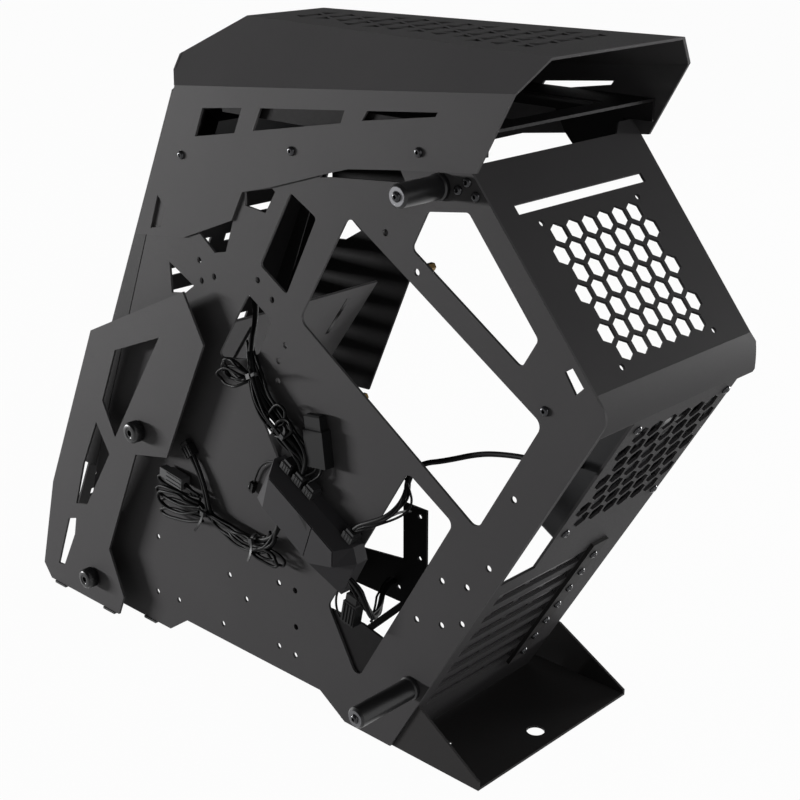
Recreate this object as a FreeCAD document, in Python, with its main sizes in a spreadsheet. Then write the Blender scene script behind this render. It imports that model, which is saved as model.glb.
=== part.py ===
"""Open-frame mid tower computer case with its side panels taken off.

Frame: millimetres, +Z up, +X towards the rear panels, +Y from the cable side to the board side.
The origin lies on the floor, under the middle of the case's box.
"""
import FreeCAD
import Part
import math
import os

V = FreeCAD.Vector
Y_AXIS = V(0, 1, 0)

# Driving sizes, in millimetres and degrees. The sheet of the document holds them under these names.
SIZES = {
    # Sheet metal and overall form
    "case_width": 184,
    "plate_gauge": 2,
    "foot_pad": 2,
    "nose_x": -66.65,
    "datum_x": -2.35,
    "front_slope": 64.4,
    # Rear panels: the sharp meeting line of the two faces and what lies on them
    "rear_corner_x": 312.05,
    "rear_corner_z": 313.9,
    "roof_rise": 208.1,
    "upper_slope": 50.2,
    "lower_slope": 59.4,
    "panel_bend": 12,
    "upper_gap": 69,
    "upper_ear": 8.5,
    "lower_far_edge": 72,
    "io_top": 18,
    "io_length": 148,
    "io_width": 37,
    "io_lip": 2,
    "cable_slot_along": 145.5,
    "cable_slot_width": 7,
    "cable_slot_length": 138,
    # Fans and their meshes
    "fan_pitch": 105,
    "fan_frame": 120,
    "fan_depth": 25,
    "fan_bore": 116,
    "fan_hole": 4.5,
    "fan_along": 80.3,
    "upper_fan_y": -2.8,
    "lower_fan_y": 12,
    "mesh_pitch": 16.5,
    "mesh_cell": 13.6,
    "rotor_hub": 40,
    "rotor_gap": 1.5,
    "shaft_size": 4,
    "running_gap": 0.05,
    # Expansion slots
    "slot_first": 188.3,
    "slot_pitch": 20.32,
    "slot_width": 12.5,
    "slot_length": 98,
    "slot_near": 14,
    "cover_width": 18,
    "cover_length": 116,
    "cover_gauge": 1,
    "bar_width": 18,
    "bar_gauge": 3,
    "bar_from_tray": 121.7,
    # Roof
    "roof_length": 310,
    "roof_front_half": 39.5,
    "roof_rear_half": 71,
    "roof_chamfer": 40,
    "roof_hole": 14,
    "roof_hole_pitch": 21,
    # Top bracket, front panel, legs and stand
    "bracket_drop": 46,
    "bracket_flange": 16,
    "bracket_length": 250,
    "front_step": 127,
    "front_proud": 4,
    "front_inset": 15,
    "leg_gap": 13,
    "leg_post": 12,
    "knob_size": 18,
    "knob_length": 11,
    "stand_front": 72.65,
    "stand_rear": 213.5,
    "radiator_slope": 54,
    "radiator_length": 135,
    "radiator_width": 154,
    # Standoffs, screws and small pieces
    "standoff_size": 16,
    "upper_standoff": 40,
    "lower_standoff": 58,
    "screw_head": 6.8,
    "screw_head_height": 2.2,
    "screw_shank": 3,
    "board_pillar": 6,
    "pillar_height": 6.5,
    "hub_length": 104,
    "hub_width": 44,
    "hub_height": 22,
    "power_button": 15,
    "reset_button": 9,
    "button_proud": 2.5,
    "button_gap": 0.4,
    "module_depth": 16,
    "cable_size": 4.5,
    "lead_size": 4,
}

doc = FreeCAD.newDocument("mid_tower_case")
sheet = doc.addObject("Spreadsheet::Sheet", "sizes")
for row, (alias, amount) in enumerate(SIZES.items(), 1):
    sheet.set("A%d" % row, alias)
    sheet.set("B%d" % row, str(amount))
    sheet.setAlias("B%d" % row, alias)
doc.recompute()

pieces = []


def size(alias):
    """Value of one driving size."""
    return float(sheet.get(alias))


def keep(piece, label):
    """Name a finished sub-part, which also names its file."""
    piece.Label = label
    if piece.Label != label:
        raise RuntimeError("the name %s is taken" % label)
    pieces.append(piece)
    return piece


# Skeleton lines in the side view, as points (x, z)
def upper(along, inward=0.0):
    """Point on the upper rear panel, measured up from the corner and inward from its outer face."""
    turn = math.radians(size("upper_slope"))
    x = size("rear_corner_x") - along * math.cos(turn) - inward * math.sin(turn)
    z = size("rear_corner_z") + along * math.sin(turn) - inward * math.cos(turn)
    return (x, z)


def lower(along, inward=0.0):
    """Point on the lower rear panel, measured down from the corner and inward from its outer face."""
    turn = math.radians(size("lower_slope"))
    x = size("rear_corner_x") - along * math.cos(turn) - inward * math.sin(turn)
    z = size("rear_corner_z") - along * math.sin(turn) + inward * math.cos(turn)
    return (x, z)


def roof_top():
    """Height of the roof's top plate."""
    return size("rear_corner_z") + size("roof_rise")


def upper_reach():
    """Length of the upper rear panel, from the corner's line to its top edge under the roof."""
    return (size("roof_rise") - size("upper_gap")) / math.sin(math.radians(size("upper_slope")))


def under_roof(drop, inward):
    """Point below the roof's top, measured level from the upper rear panel's line."""
    rise = size("roof_rise") - drop
    return (upper(rise / math.sin(math.radians(size("upper_slope"))))[0] - inward, roof_top() - drop)


def front(z, behind=0.0):
    """Point of the front slope at a height, or a distance behind it along X."""
    return (size("nose_x") - (roof_top() - z) / math.tan(math.radians(size("front_slope"))) + behind, z)


def lower_at(z, inward=0.0):
    """Point on the lower rear panel's line at a height."""
    turn = math.radians(size("lower_slope"))
    return lower((size("rear_corner_z") - z + inward * math.cos(turn)) / math.sin(turn), inward)


def rear(dx, dz):
    """Point placed from the rear corner."""
    return (size("rear_corner_x") + dx, size("rear_corner_z") + dz)


def nose(dx, dz):
    """Point placed from the roof's front top corner."""
    return (size("nose_x") + dx, roof_top() + dz)


def base(x, up):
    """Point placed from the datum under the case's middle, a height above the feet."""
    return (size("datum_x") + x, size("foot_pad") + up)


def by_tray(x, out, z):
    """Point in the case placed from the datum and from the tray's outer face."""
    return V(size("datum_x") + x, out - size("case_width") / 2, z)


def bend_length(radius):
    """Distance from the corner to where the rear panel's bend of this radius begins."""
    turn = math.radians((size("upper_slope") + size("lower_slope")) / 2)
    return radius * math.tan(turn)


# Sketch and feature helpers
def new_body(name):
    """Empty body."""
    return doc.addObject("PartDesign::Body", name)


def add_sketch(body, role, offset=None):
    """Sketch on one of the body's own origin planes, moved along the plane's normal by an expression."""
    sketch = body.newObject("Sketcher::SketchObject", body.Name + "_sketch")
    origin_plane = [item for item in body.Origin.OriginFeatures if item.Role == role][0]
    sketch.AttachmentSupport = [(origin_plane, "")]
    sketch.MapMode = "FlatFace"
    if offset:
        sketch.setExpression("AttachmentOffset.Base.z", offset)
    return sketch


def draw(sketch, points, radius=0.0):
    """Closed outline through the points; a corner is rounded where it, or the outline, has a radius."""
    corners = [V(p[0], p[1], 0) for p in points]
    count = len(corners)
    ends = []
    for i, corner in enumerate(corners):
        before = (corners[i - 1] - corner).normalize()
        after = (corners[(i + 1) % count] - corner).normalize()
        half = before.getAngle(after) / 2
        bend = points[i][2] if len(points[i]) > 2 else radius
        if bend:
            reach = bend / math.tan(half)
            middle = corner + (before + after).normalize() * (bend / math.sin(half) - bend)
            start, end = corner + before * reach, corner + after * reach
            sketch.addGeometry(Part.Arc(start, middle, end), False)
            ends.append((start, end))
        else:
            ends.append((corner, corner))
    for i in range(count):
        sketch.addGeometry(Part.LineSegment(ends[i][1], ends[(i + 1) % count][0]), False)


def ring(sketch, x, y, diameter):
    """Circle in a sketch."""
    sketch.addGeometry(Part.Circle(V(x, y, 0), V(0, 0, 1), diameter / 2), False)


def box_points(x0, x1, y0, y1):
    """Corners of a rectangle."""
    return [(x0, y0), (x1, y0), (x1, y1), (x0, y1)]


def pad(body, sketch, length, both_ways=False, backwards=False):
    """Pad a sketch by an expression."""
    feature = body.newObject("PartDesign::Pad", body.Name + "_pad")
    feature.Profile = sketch
    feature.Midplane = both_ways
    feature.Reversed = backwards
    feature.setExpression("Length", length)
    sketch.Visibility = False
    doc.recompute()
    return feature


def place(piece, x="0", y="0", z="0", tilt=None):
    """Bind a piece's place, and its turn about the Y axis, to the sheet."""
    if tilt:
        piece.Placement = FreeCAD.Placement(V(0, 0, 0), FreeCAD.Rotation(Y_AXIS, 1))
        piece.setExpression("Placement.Rotation.Angle", tilt)
    piece.setExpression("Placement.Base.x", x)
    piece.setExpression("Placement.Base.y", y)
    piece.setExpression("Placement.Base.z", z)
    doc.recompute()


UPPER_TILT = "sizes.upper_slope"
LOWER_TILT = "180 - sizes.lower_slope"
FRONT_TILT = "180 - sizes.front_slope"
ROOF_TOP = "sizes.rear_corner_z + sizes.roof_rise"


def on_upper(piece):
    """Lay a flat piece on the upper rear panel: its X runs down the panel from the corner's line."""
    place(piece, "sizes.rear_corner_x", "0", "sizes.rear_corner_z", UPPER_TILT)


def on_lower(piece):
    """Lay a flat piece on the lower rear panel: its X runs down the panel, its Z points out."""
    place(piece, "sizes.rear_corner_x", "0", "sizes.rear_corner_z", LOWER_TILT)


def on_front(piece):
    """Lay a flat piece before the front slope: its X runs down the slope, its Z points inward."""
    place(piece, "sizes.nose_x - sizes.front_proud", "0", ROOF_TOP, FRONT_TILT)


def lower_frame():
    """Placement of a shape that is drawn on the lower rear panel."""
    corner = V(size("rear_corner_x"), 0, size("rear_corner_z"))
    return FreeCAD.Placement(corner, FreeCAD.Rotation(Y_AXIS, 180 - size("lower_slope")))


def upper_frame():
    """Placement of a shape that is drawn on the upper rear panel."""
    corner = V(size("rear_corner_x"), 0, size("rear_corner_z"))
    return FreeCAD.Placement(corner, FreeCAD.Rotation(Y_AXIS, size("upper_slope")))


def front_frame():
    """Placement of a shape that is drawn on the front panel's outer face."""
    tip = V(size("nose_x") - size("front_proud"), 0, roof_top())
    return FreeCAD.Placement(tip, FreeCAD.Rotation(Y_AXIS, 180 - size("front_slope")))


def cutter(name, role_points, circles, placement):
    """Prisms through a sheet, drawn flat and laid in place."""
    depth = 4 * size("plate_gauge")
    solids = []
    for points in role_points:
        corners = [V(x, y, -depth) for x, y in points]
        solids.append(Part.Face(Part.makePolygon(corners + corners[:1])).extrude(V(0, 0, 2 * depth)))
    for x, y, diameter in circles:
        solids.append(Part.makeCylinder(diameter / 2, 2 * depth, V(x, y, -depth)))
    tool = doc.addObject("Part::Feature", name)
    tool.Shape = Part.makeCompound(solids)
    tool.Placement = placement
    return tool


def cut(base, tools, name):
    """Cut tools out of a base one after another, and check that each one really cut."""
    for tool in tools:
        result = doc.addObject("Part::Cut", name + "_cut")
        result.Base = base
        result.Tool = tool
        doc.recompute()
        if result.Shape.Volume >= base.Shape.Volume:
            raise RuntimeError("a cut of %s took nothing away" % name)
        base = result
    return base


def fan_holes(along, across):
    """Four screw holes of a fan about its centre, as circles."""
    half = size("fan_pitch") / 2
    return [(along + i * half, across + j * half, size("fan_hole")) for i in (-1, 1) for j in (-1, 1)]


def hexagon(along, across, flats):
    """Hexagon with its points up and down the panel."""
    reach = flats / math.sqrt(3)
    turns = [math.radians(60 * k) for k in range(6)]
    return [(along + reach * math.cos(t), across + reach * math.sin(t)) for t in turns]


def fan_mesh(along, across):
    """Staggered hexagons over a fan's square, in rows across the panel."""
    pitch = size("mesh_pitch")
    step = pitch * math.sqrt(3) / 2
    reach = (size("fan_frame") - size("mesh_cell")) / 2
    rows = int(reach / step)
    cells = []
    for i in range(-rows, rows + 1):
        wide = i % 2 == 0
        columns = int((reach + (0 if wide else -pitch / 2)) / pitch)
        places = [j * pitch for j in range(-columns, columns + 1)]
        if not wide:
            places = [(j + 0.5) * pitch for j in range(-columns - 1, columns + 1)]
        cells += [hexagon(along + i * step, across + y, size("mesh_cell")) for y in places]
    return cells


def tray_edge(z, flange_top=3.0, flange_growth=0.065):
    """Front edge of the side plates: behind the front panel's flange, which widens downwards."""
    return front(z, flange_top + flange_growth * (roof_top() - size("bracket_drop") - z))


# Motherboard side: the main tray
def board_holes():
    """Places (x, z) of the board's pillars on the tray: the standard grid, laid along the lower panel."""
    first_along, first_inward = size("io_top") + 2, 10
    rows = (0, 124.46, 281.94)
    columns = (0, 154.94, 227.33)
    grid = [lower(first_along + a, first_inward + b) for b in columns for a in rows]
    del grid[2]
    return grid


def tray_outline():
    """Outline of the tray, from its top front corner round to the front."""
    floor = size("foot_pad")
    top_z = roof_top() - 90
    corner = (size("rear_corner_x"), size("rear_corner_z"), size("panel_bend"))
    return [tray_edge(top_z), under_roof(57.5, 0), corner, lower_at(floor),
            (size("stand_front") + 6, floor), (size("stand_front") - 21, floor + 17), base(-110, 17),
            base(-134, 0), base(-201, 0), base(-238, 20), base(-240, 86), tray_edge(140)]


def tray_windows():
    """Large cut-outs of the tray with rounded corners: (points, corner radius)."""
    diamond = [rear(-222, 91), rear(-50.5, -16), rear(-103, -106), rear(-274, 6)]
    trapezoid = [under_roof(103, 62), under_roof(98, 23), rear(-56, 39), rear(-69, 17.5), rear(-164, 78)]
    lower_slot = [rear(-167, -82), rear(-124, -108), rear(-219, -269), rear(-249.5, -216)]
    kite = [rear(-280, 98), rear(-254, 84), rear(-287, 22), rear(-315, 39)]
    crossing = [rear(-329, 14), rear(-304, -1), rear(-319, -30), rear(-332, -38), rear(-368, -44), rear(-341, -3)]
    cable_pass = [rear(-319, -82), rear(-301, -68), rear(-279, -100), rear(-299, -116)]
    return [(diamond, 7), (trapezoid, 4), (lower_slot, 6), (kite, 3), (crossing, 3), (cable_pass, 3)]


def tray_notches():
    """Small sharp cut-outs of the tray."""
    wedge = [rear(-384, 52), rear(-343, 68), rear(-353, 42), rear(-366, 39)]
    hood = [rear(-329, 91), rear(-299, 98), rear(-296, 96), rear(-307, 79), rear(-329, 81)]
    spur = [rear(-422, 22), rear(-393, 8), rear(-404, 0), rear(-421, -3)]
    edge_slot = [rear(-35, 23), rear(-29, 27), rear(-20, 16), rear(-26, 10)]
    under_edge = [nose(129, -95), nose(143, -93), nose(210, -87), nose(203, -76), nose(160, -78), nose(133, -86)]
    return [wedge, hood, spur, edge_slot, under_edge]


def tray_holes():
    """Plain round holes of the tray: cable tie and drive holes, as (x, z, diameter)."""
    near_front = [(-385, 30), (-383, 14), (-368, 20), (-318, 27), (-303, 15), (-290, -17), (-298, -31), (-299, -47)]
    by_slot = [(-72, -74), (-92, -131), (-134, -155), (-111, -152), (-158, -194), (-134, -190), (-115, -182),
               (-187.5, 85), (-159, 63)]
    low_front = [(-144, 85), (-149, 31), (-120, 33), (-51, 81), (-31, 66), (9, 95), (28, 95), (-62, 32), (7, 38),
                 (28, 63), (26, 37)]
    places = [rear(*p) for p in near_front + by_slot] + [base(*p) for p in low_front]
    screws = roof_screw_places() + tray_screw_places()
    return [(x, z, 5.0) for x, z in places] + [(x, z, screw_hole()) for x, z in screws]


def make_main_tray():
    """Tray plate on the cable side, which carries every other piece."""
    body = new_body("main_tray")
    sketch = add_sketch(body, "XZ_Plane", "sizes.case_width / 2 - sizes.plate_gauge")
    draw(sketch, tray_outline())
    for points, radius in tray_windows():
        draw(sketch, points, radius)
    for points in tray_notches():
        draw(sketch, points)
    for x, z, diameter in tray_holes():
        ring(sketch, x, z, diameter)
    pad(body, sketch, "sizes.plate_gauge")
    return keep(body, "main_tray")


# Rear: one bent panel with fan meshes, I/O opening and slots
def slot_places():
    """Distance down the lower panel of each expansion slot."""
    return [size("slot_first") + k * size("slot_pitch") for k in range(7)]


def bar_y():
    """Line of the slot screws across the case."""
    return size("bar_from_tray") - size("case_width") / 2


def make_rear_panel():
    """Bent rear panel: a band in the side view, padded across the case, then cut."""
    gauge = size("plate_gauge")
    radius = size("panel_bend")
    outer, inner = bend_length(radius), bend_length(radius)
    middle_turn = math.radians((size("upper_slope") - size("lower_slope")) / 2)
    half_angle = math.radians((180 - size("upper_slope") - size("lower_slope")) / 2)
    corner = V(size("rear_corner_x"), size("rear_corner_z"), 0)
    inward = V(-math.cos(middle_turn), math.sin(middle_turn), 0)
    centre = corner + inward * (radius / math.sin(half_angle))
    end = (size("rear_corner_z") - size("foot_pad") - gauge - 0.3) / math.sin(math.radians(size("lower_slope")))
    reach = upper_reach() + size("upper_ear")

    body = new_body("rear_panel_blank")
    sketch = add_sketch(body, "XZ_Plane", "-sizes.case_width / 2")
    outside = [V(*upper(reach), 0), V(*upper(outer), 0), V(*lower(outer), 0), V(*lower(end), 0)]
    inside = [V(*upper(reach, gauge), 0), V(*upper(inner, gauge), 0), V(*lower(inner, gauge), 0),
              V(*lower(end, gauge), 0)]
    for line in (outside, inside):
        bend = centre - inward * (radius if line is outside else radius - gauge)
        sketch.addGeometry(Part.LineSegment(line[0], line[1]), False)
        sketch.addGeometry(Part.Arc(line[1], bend, line[2]), False)
        sketch.addGeometry(Part.LineSegment(line[2], line[3]), False)
    sketch.addGeometry(Part.LineSegment(outside[0], inside[0]), False)
    sketch.addGeometry(Part.LineSegment(outside[3], inside[3]), False)
    pad(body, sketch, "sizes.case_width - sizes.plate_gauge")

    half = size("case_width") / 2
    across = size("upper_fan_y")
    slot_x = -size("cable_slot_along")
    slot_half = size("cable_slot_width") / 2
    length = size("cable_slot_length")
    slot = box_points(slot_x - slot_half, slot_x + slot_half, -half + 21, -half + 21 + length)
    along = -size("fan_along")
    ear = [(-reach - 9, -half - 9), (-upper_reach(), -half - 9), (-upper_reach(), half - 27), (-reach, half - 17),
           (-reach - 9, half - 17)]
    far_taper = [(-reach - 9, half + 9), (-reach - 9, half - 0.3), (-bend_length(radius), half - 6), (0, half + 9)]
    upper_cuts = cutter("upper_cuts", [slot, ear, far_taper] + fan_mesh(along, across), fan_holes(along, across),
                        upper_frame())

    io = box_points(size("io_top"), size("io_top") + size("io_length"),
                    -half + gauge + size("io_lip"), -half + gauge + size("io_lip") + size("io_width"))
    near = -half + size("slot_near")
    slots = [box_points(s - size("slot_width") / 2, s + size("slot_width") / 2, near, near + size("slot_length"))
             for s in slot_places()]
    step = box_points(bend_length(radius) + 3, end + 20, size("lower_far_edge"), half + 20)
    holes = fan_holes(size("fan_along"), size("lower_fan_y"))
    holes += [(s, bar_y(), screw_hole()) for s in slot_places()]
    mesh = fan_mesh(size("fan_along"), size("lower_fan_y"))
    lower_cuts = cutter("lower_cuts", [io, step] + slots + mesh, holes, lower_frame())
    return keep(cut(body, [upper_cuts, lower_cuts], "rear_panel"), "rear_panel")


def make_slot_covers():
    """Vented covers behind the expansion slots."""
    near = bar_y() + size("bar_width") / 2 - size("cover_length")
    half = size("cover_width") / 2
    for k, s in enumerate(slot_places(), 1):
        body = new_body("slot_cover_%d" % k)
        sketch = add_sketch(body, "XY_Plane", "-sizes.plate_gauge - sizes.cover_gauge")
        draw(sketch, box_points(s - half, s + half, near, near + size("cover_length")))
        for row in (-3, 3):
            for column in range(3):
                start = near + 10 + column * 30
                draw(sketch, box_points(s + row - 1.2, s + row + 1.2, start, start + 25))
        ring(sketch, s, bar_y(), screw_hole())
        pad(body, sketch, "sizes.cover_gauge")
        on_lower(body)
        keep(body, "slot_cover_%d" % k)


def make_retention_bar():
    """Bar over the slot covers' screw ends, on the panel's outer face."""
    body = new_body("slot_retention_bar")
    sketch = add_sketch(body, "XY_Plane")
    places = slot_places()
    half = size("bar_width") / 2
    draw(sketch, box_points(places[0] - 14, places[-1] + 14, bar_y() - half, bar_y() + half))
    for s in places:
        ring(sketch, s, bar_y(), screw_hole())
    pad(body, sketch, "sizes.bar_gauge")
    on_lower(body)
    keep(body, "slot_retention_bar")


# Fasteners
def screw_hole():
    """Diameter of a clearance hole for a screw."""
    return size("screw_shank") + 0.6


def tray_screw_places():
    """Screws in the tray beside the rear panel."""
    return [under_roof(85, 21), under_roof(79, 8.5), under_roof(87, 8), rear(-49, -6)]


def screw(shank_length):
    """Pan head screw: the seat of its head at the origin, its shank down the negative Z axis."""
    head, height, shank = size("screw_head") / 2, size("screw_head_height"), size("screw_shank") / 2
    points = [V(0, 0, height), V(head * 0.55, 0, height), V(head, 0, height * 0.45), V(head, 0, 0), V(shank, 0, 0),
              V(shank, 0, -shank_length), V(0, 0, -shank_length)]
    return Part.Face(Part.makePolygon(points + points[:1])).revolve(V(0, 0, 0), V(0, 0, 1), 360)


def make_screws(label, seats, shank_length, placement=FreeCAD.Placement()):
    """Group of like screws; each seat is a point and the direction that its head faces."""
    solids = []
    for point, direction in seats:
        solid = screw(shank_length)
        solid.Placement = FreeCAD.Placement(V(*point), FreeCAD.Rotation(V(0, 0, 1), V(*direction)))
        solids.append(solid)
    group = doc.addObject("Part::Feature", label)
    group.Shape = Part.makeCompound(solids)
    group.Placement = placement
    return keep(group, label)


def make_rear_screws():
    """Slot screws on the bar, and fan screws on the lower panel."""
    out = (0, 0, 1)
    slot_seats = [((s, bar_y(), size("bar_gauge")), out) for s in slot_places()]
    grip = size("bar_gauge") + size("plate_gauge") + size("cover_gauge") + 3
    make_screws("slot_screws", slot_seats, grip, lower_frame())
    fan_seats = [((x, y, 0), out) for x, y, _ in fan_holes(size("fan_along"), size("lower_fan_y"))]
    make_screws("fan_screws", fan_seats, size("plate_gauge") + 10, lower_frame())


# Rear fan
def make_rear_fan():
    """Fan behind the lower mesh: a square frame with a spider, and a bladed rotor that turns in it."""
    half = size("fan_frame") / 2
    s, y = size("fan_along"), size("lower_fan_y")
    hub = size("rotor_hub") / 2
    body = new_body("rear_fan_frame")
    sketch = add_sketch(body, "XY_Plane", "-sizes.plate_gauge - sizes.fan_depth")
    draw(sketch, box_points(s - half, s + half, y - half, y + half), 6)
    ring(sketch, s, y, size("fan_bore"))
    for hole in fan_holes(s, y):
        ring(sketch, *hole)
    pad(body, sketch, "sizes.fan_depth")
    spider = add_sketch(body, "XY_Plane", "-sizes.plate_gauge - 3")
    arm, reach = 2.5, size("fan_bore") / 2 + 0.5
    turns = [math.radians(45 + 90 * k) for k in range(4)]
    points = []
    for t in turns:
        along, side = V(math.cos(t), math.sin(t), 0), V(-math.sin(t), math.cos(t), 0)
        for radial, lateral in ((hub * 0.98, -arm), (reach, -arm), (reach, arm), (hub * 0.98, arm)):
            corner = along * radial + side * lateral
            points.append((s + corner.x, y + corner.y))
        quarter = along * (hub / math.sqrt(2)) + side * (hub / math.sqrt(2))
        points.append((s + quarter.x, y + quarter.y))
    draw(spider, points)
    ring(spider, s, y, size("shaft_size") + 2 * size("running_gap"))
    pad(body, spider, "3")
    on_lower(body)
    keep(body, "rear_fan_frame")
    make_rotor(s, y, hub)


def make_rotor(s, y, hub):
    """Rotor: a capped hub, a shaft into the spider and seven pitched blades."""
    top = -size("plate_gauge") - 3 - 0.5
    bottom = -size("plate_gauge") - size("fan_depth") + 1
    tip = size("fan_bore") / 2 - size("rotor_gap")
    rotor = Part.makeCylinder(hub, top - bottom, V(0, 0, bottom))
    rotor = rotor.fuse(Part.makeCylinder(size("shaft_size") / 2, 3, V(0, 0, top - 0.2)))
    middle = (top + bottom) / 2
    for k in range(7):
        sections = []
        for radius, pitch, chord in ((hub - 2, 50, 21), (tip, 28, 30)):
            lean = math.radians(pitch)
            along = V(0, math.cos(lean), math.sin(lean)) * (chord / 2)
            thick = V(0, -math.sin(lean), math.cos(lean)) * 0.8
            centre = V(radius, 0, middle)
            corners = [centre + along + thick, centre - along + thick, centre - along - thick, centre + along - thick]
            sections.append(Part.makePolygon(corners + corners[:1]))
        blade = Part.makeLoft(sections, True, True)
        blade.rotate(V(0, 0, 0), V(0, 0, 1), 360 / 7 * k)
        rotor = rotor.fuse(blade)
    swept = Part.makeCylinder(tip, top - bottom + 3, V(0, 0, bottom))
    rotor = rotor.common(swept).removeSplitter()
    piece = doc.addObject("Part::Feature", "rear_fan_rotor")
    piece.Shape = rotor
    piece.Placement = lower_frame().multiply(FreeCAD.Placement(V(s, y, 0), FreeCAD.Rotation()))
    keep(piece, "rear_fan_rotor")


# Roof: the lines where its front facets meet, measured from the front top corner
VISOR = (-46, -29)
CHIN = (-38.8, -38.7)


def roof_half(x):
    """Half the width of the roof's top plate at a place along it."""
    share = (x - size("nose_x")) / size("roof_length")
    return size("roof_front_half") + share * (size("roof_rear_half") - size("roof_front_half"))


def roof_section(x):
    """Corners of the roof's bent section at a place along it: side, chamfer, top, chamfer, side."""
    gauge = size("plate_gauge")
    side = size("case_width") / 2 + gauge
    lean = math.radians(size("roof_chamfer"))
    top, low = roof_top(), roof_top() - 190
    half = roof_half(x)
    fold = top - (side - half) * math.tan(lean)
    inner_fold = fold + gauge * math.tan(lean) - gauge / math.cos(lean)
    inner_half = half - (gauge / math.cos(lean) - gauge) / math.tan(lean)
    outside = [(-side, low), (-side, fold), (-half, top), (half, top), (side, fold), (side, low)]
    inside = [(side - gauge, low), (side - gauge, inner_fold), (inner_half, top - gauge), (-inner_half, top - gauge),
              (-side + gauge, inner_fold), (-side + gauge, low)]
    return [V(x, y, z) for y, z in outside + inside]


def roof_blank():
    """Bent sheet between two sections of the roof, with flat faces only."""
    start, end = [roof_section(size("nose_x") + x) for x in (-110, size("roof_length") + 10)]
    count = len(start)
    faces = [Part.Face(Part.makePolygon(ring + ring[:1])) for ring in (start, end)]
    for i in range(count):
        j = (i + 1) % count
        faces.append(Part.Face(Part.makePolygon([start[i], start[j], end[j], end[i], start[i]])))
    solid = Part.makeSolid(Part.makeShell(faces))
    if solid.Volume < 0:
        solid.reverse()
    blank = doc.addObject("Part::Feature", "roof_blank")
    blank.Shape = solid
    return blank


def roof_outline():
    """Side view of the roof, from its front top corner round along the lower edge."""
    end = size("roof_length")
    return [nose(0, 1), nose(end, 1), nose(end - 9, -19), under_roof(72, -6), under_roof(79, 66), nose(158, -85),
            nose(131, -93), nose(80, -109), nose(49, -117), nose(36, -140), nose(-4, -156), nose(-22, -163),
            front(roof_top() - 170), front(roof_top() - 48), nose(*CHIN), nose(*VISOR)]


def roof_slots():
    """Long cut-outs in the roof's sides."""
    first = [nose(8, -61), nose(52, -56), nose(43, -75), nose(-2, -83)]
    second = [nose(72, -54), nose(156, -46), nose(152, -55), nose(63, -71)]
    third = [nose(177, -44), nose(239, -38), nose(237, -41), nose(172, -51)]
    edge_hex = [nose(-51, -134), nose(-42, -143), nose(-49, -159), nose(-62, -162)]
    return [first, second, third, edge_hex]


def roof_facet(name, upper_line, lower_line):
    """Flat facet across the roof's front between two level lines; its ends bite into the chamfers."""
    lean = math.radians(size("roof_chamfer"))
    bite = 0.4 * size("plate_gauge")
    halves = [roof_half(x) + (roof_top() - z) / math.tan(lean) - bite for x, z in (upper_line, lower_line)]
    corners = [V(upper_line[0], -halves[0], upper_line[1]), V(upper_line[0], halves[0], upper_line[1]),
               V(lower_line[0], halves[1], lower_line[1]), V(lower_line[0], -halves[1], lower_line[1])]
    inward = V(upper_line[1] - lower_line[1], 0, lower_line[0] - upper_line[0]).normalize()
    facet = doc.addObject("Part::Feature", name)
    facet.Shape = Part.Face(Part.makePolygon(corners + corners[:1])).extrude(inward * size("plate_gauge"))
    return facet


def roof_vents():
    """Triangles through the top plate, pointing up and down in turn."""
    pitch, reach = size("roof_hole_pitch"), size("roof_hole") / math.sqrt(3)
    vents = []
    columns = int((size("roof_length") - 2 * pitch) / pitch)
    for i in range(columns):
        x = size("nose_x") + pitch * (i + 1.5)
        half = roof_half(x) - pitch
        rows = int(half / (pitch * 0.62))
        for j in range(-rows, rows + 1):
            turn = 180 * ((i + j) % 2)
            angles = [math.radians(turn + 120 * k) for k in range(3)]
            y = j * pitch * 0.62
            vents.append([(x + reach * math.cos(a), y + reach * math.sin(a)) for a in angles])
    return vents


def make_roof():
    """Roof cover: a bent sheet along the case, trimmed to the side view, with vents cut through."""
    trim = new_body("roof_trim")
    sketch = add_sketch(trim, "XZ_Plane")
    draw(sketch, roof_outline())
    for points in roof_slots():
        draw(sketch, points)
    for x, z in roof_screw_places():
        ring(sketch, x, z, screw_hole())
    pad(trim, sketch, "sizes.case_width + 20 * sizes.plate_gauge", both_ways=True)
    shape = doc.addObject("Part::Common", "roof_shape")
    shape.Base = roof_blank()
    shape.Tool = trim
    doc.recompute()
    whole = doc.addObject("Part::MultiFuse", "roof_whole")
    whole.Shapes = [shape, roof_facet("roof_visor", nose(1, -0.8), nose(*VISOR)),
                    roof_facet("roof_chin", nose(*VISOR), nose(*CHIN))]
    doc.recompute()
    lid = FreeCAD.Placement(V(0, 0, roof_top()), FreeCAD.Rotation())
    vents = cutter("roof_vents", roof_vents(), [], lid)
    keep(cut(whole, [vents], "roof_cover"), "roof_cover")


def roof_screw_places():
    """Screws that hold the roof's sides."""
    return [nose(-19, -99), nose(103, -80), under_roof(65, 36.5)]


def make_side_screws():
    """Screws in the roof's sides and in the tray."""
    reach = size("case_width") / 2
    gauge = size("plate_gauge")
    near, far = roof_screw_places(), roof_screw_places()[:2]
    seats = [((x, -reach - gauge, z), (0, -1, 0)) for x, z in near]
    seats += [((x, reach + gauge, z), (0, 1, 0)) for x, z in far]
    make_screws("roof_screws", seats, 2 * gauge)
    make_screws("tray_screws", [((x, -reach, z), (0, -1, 0)) for x, z in tray_screw_places()], gauge)


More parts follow.
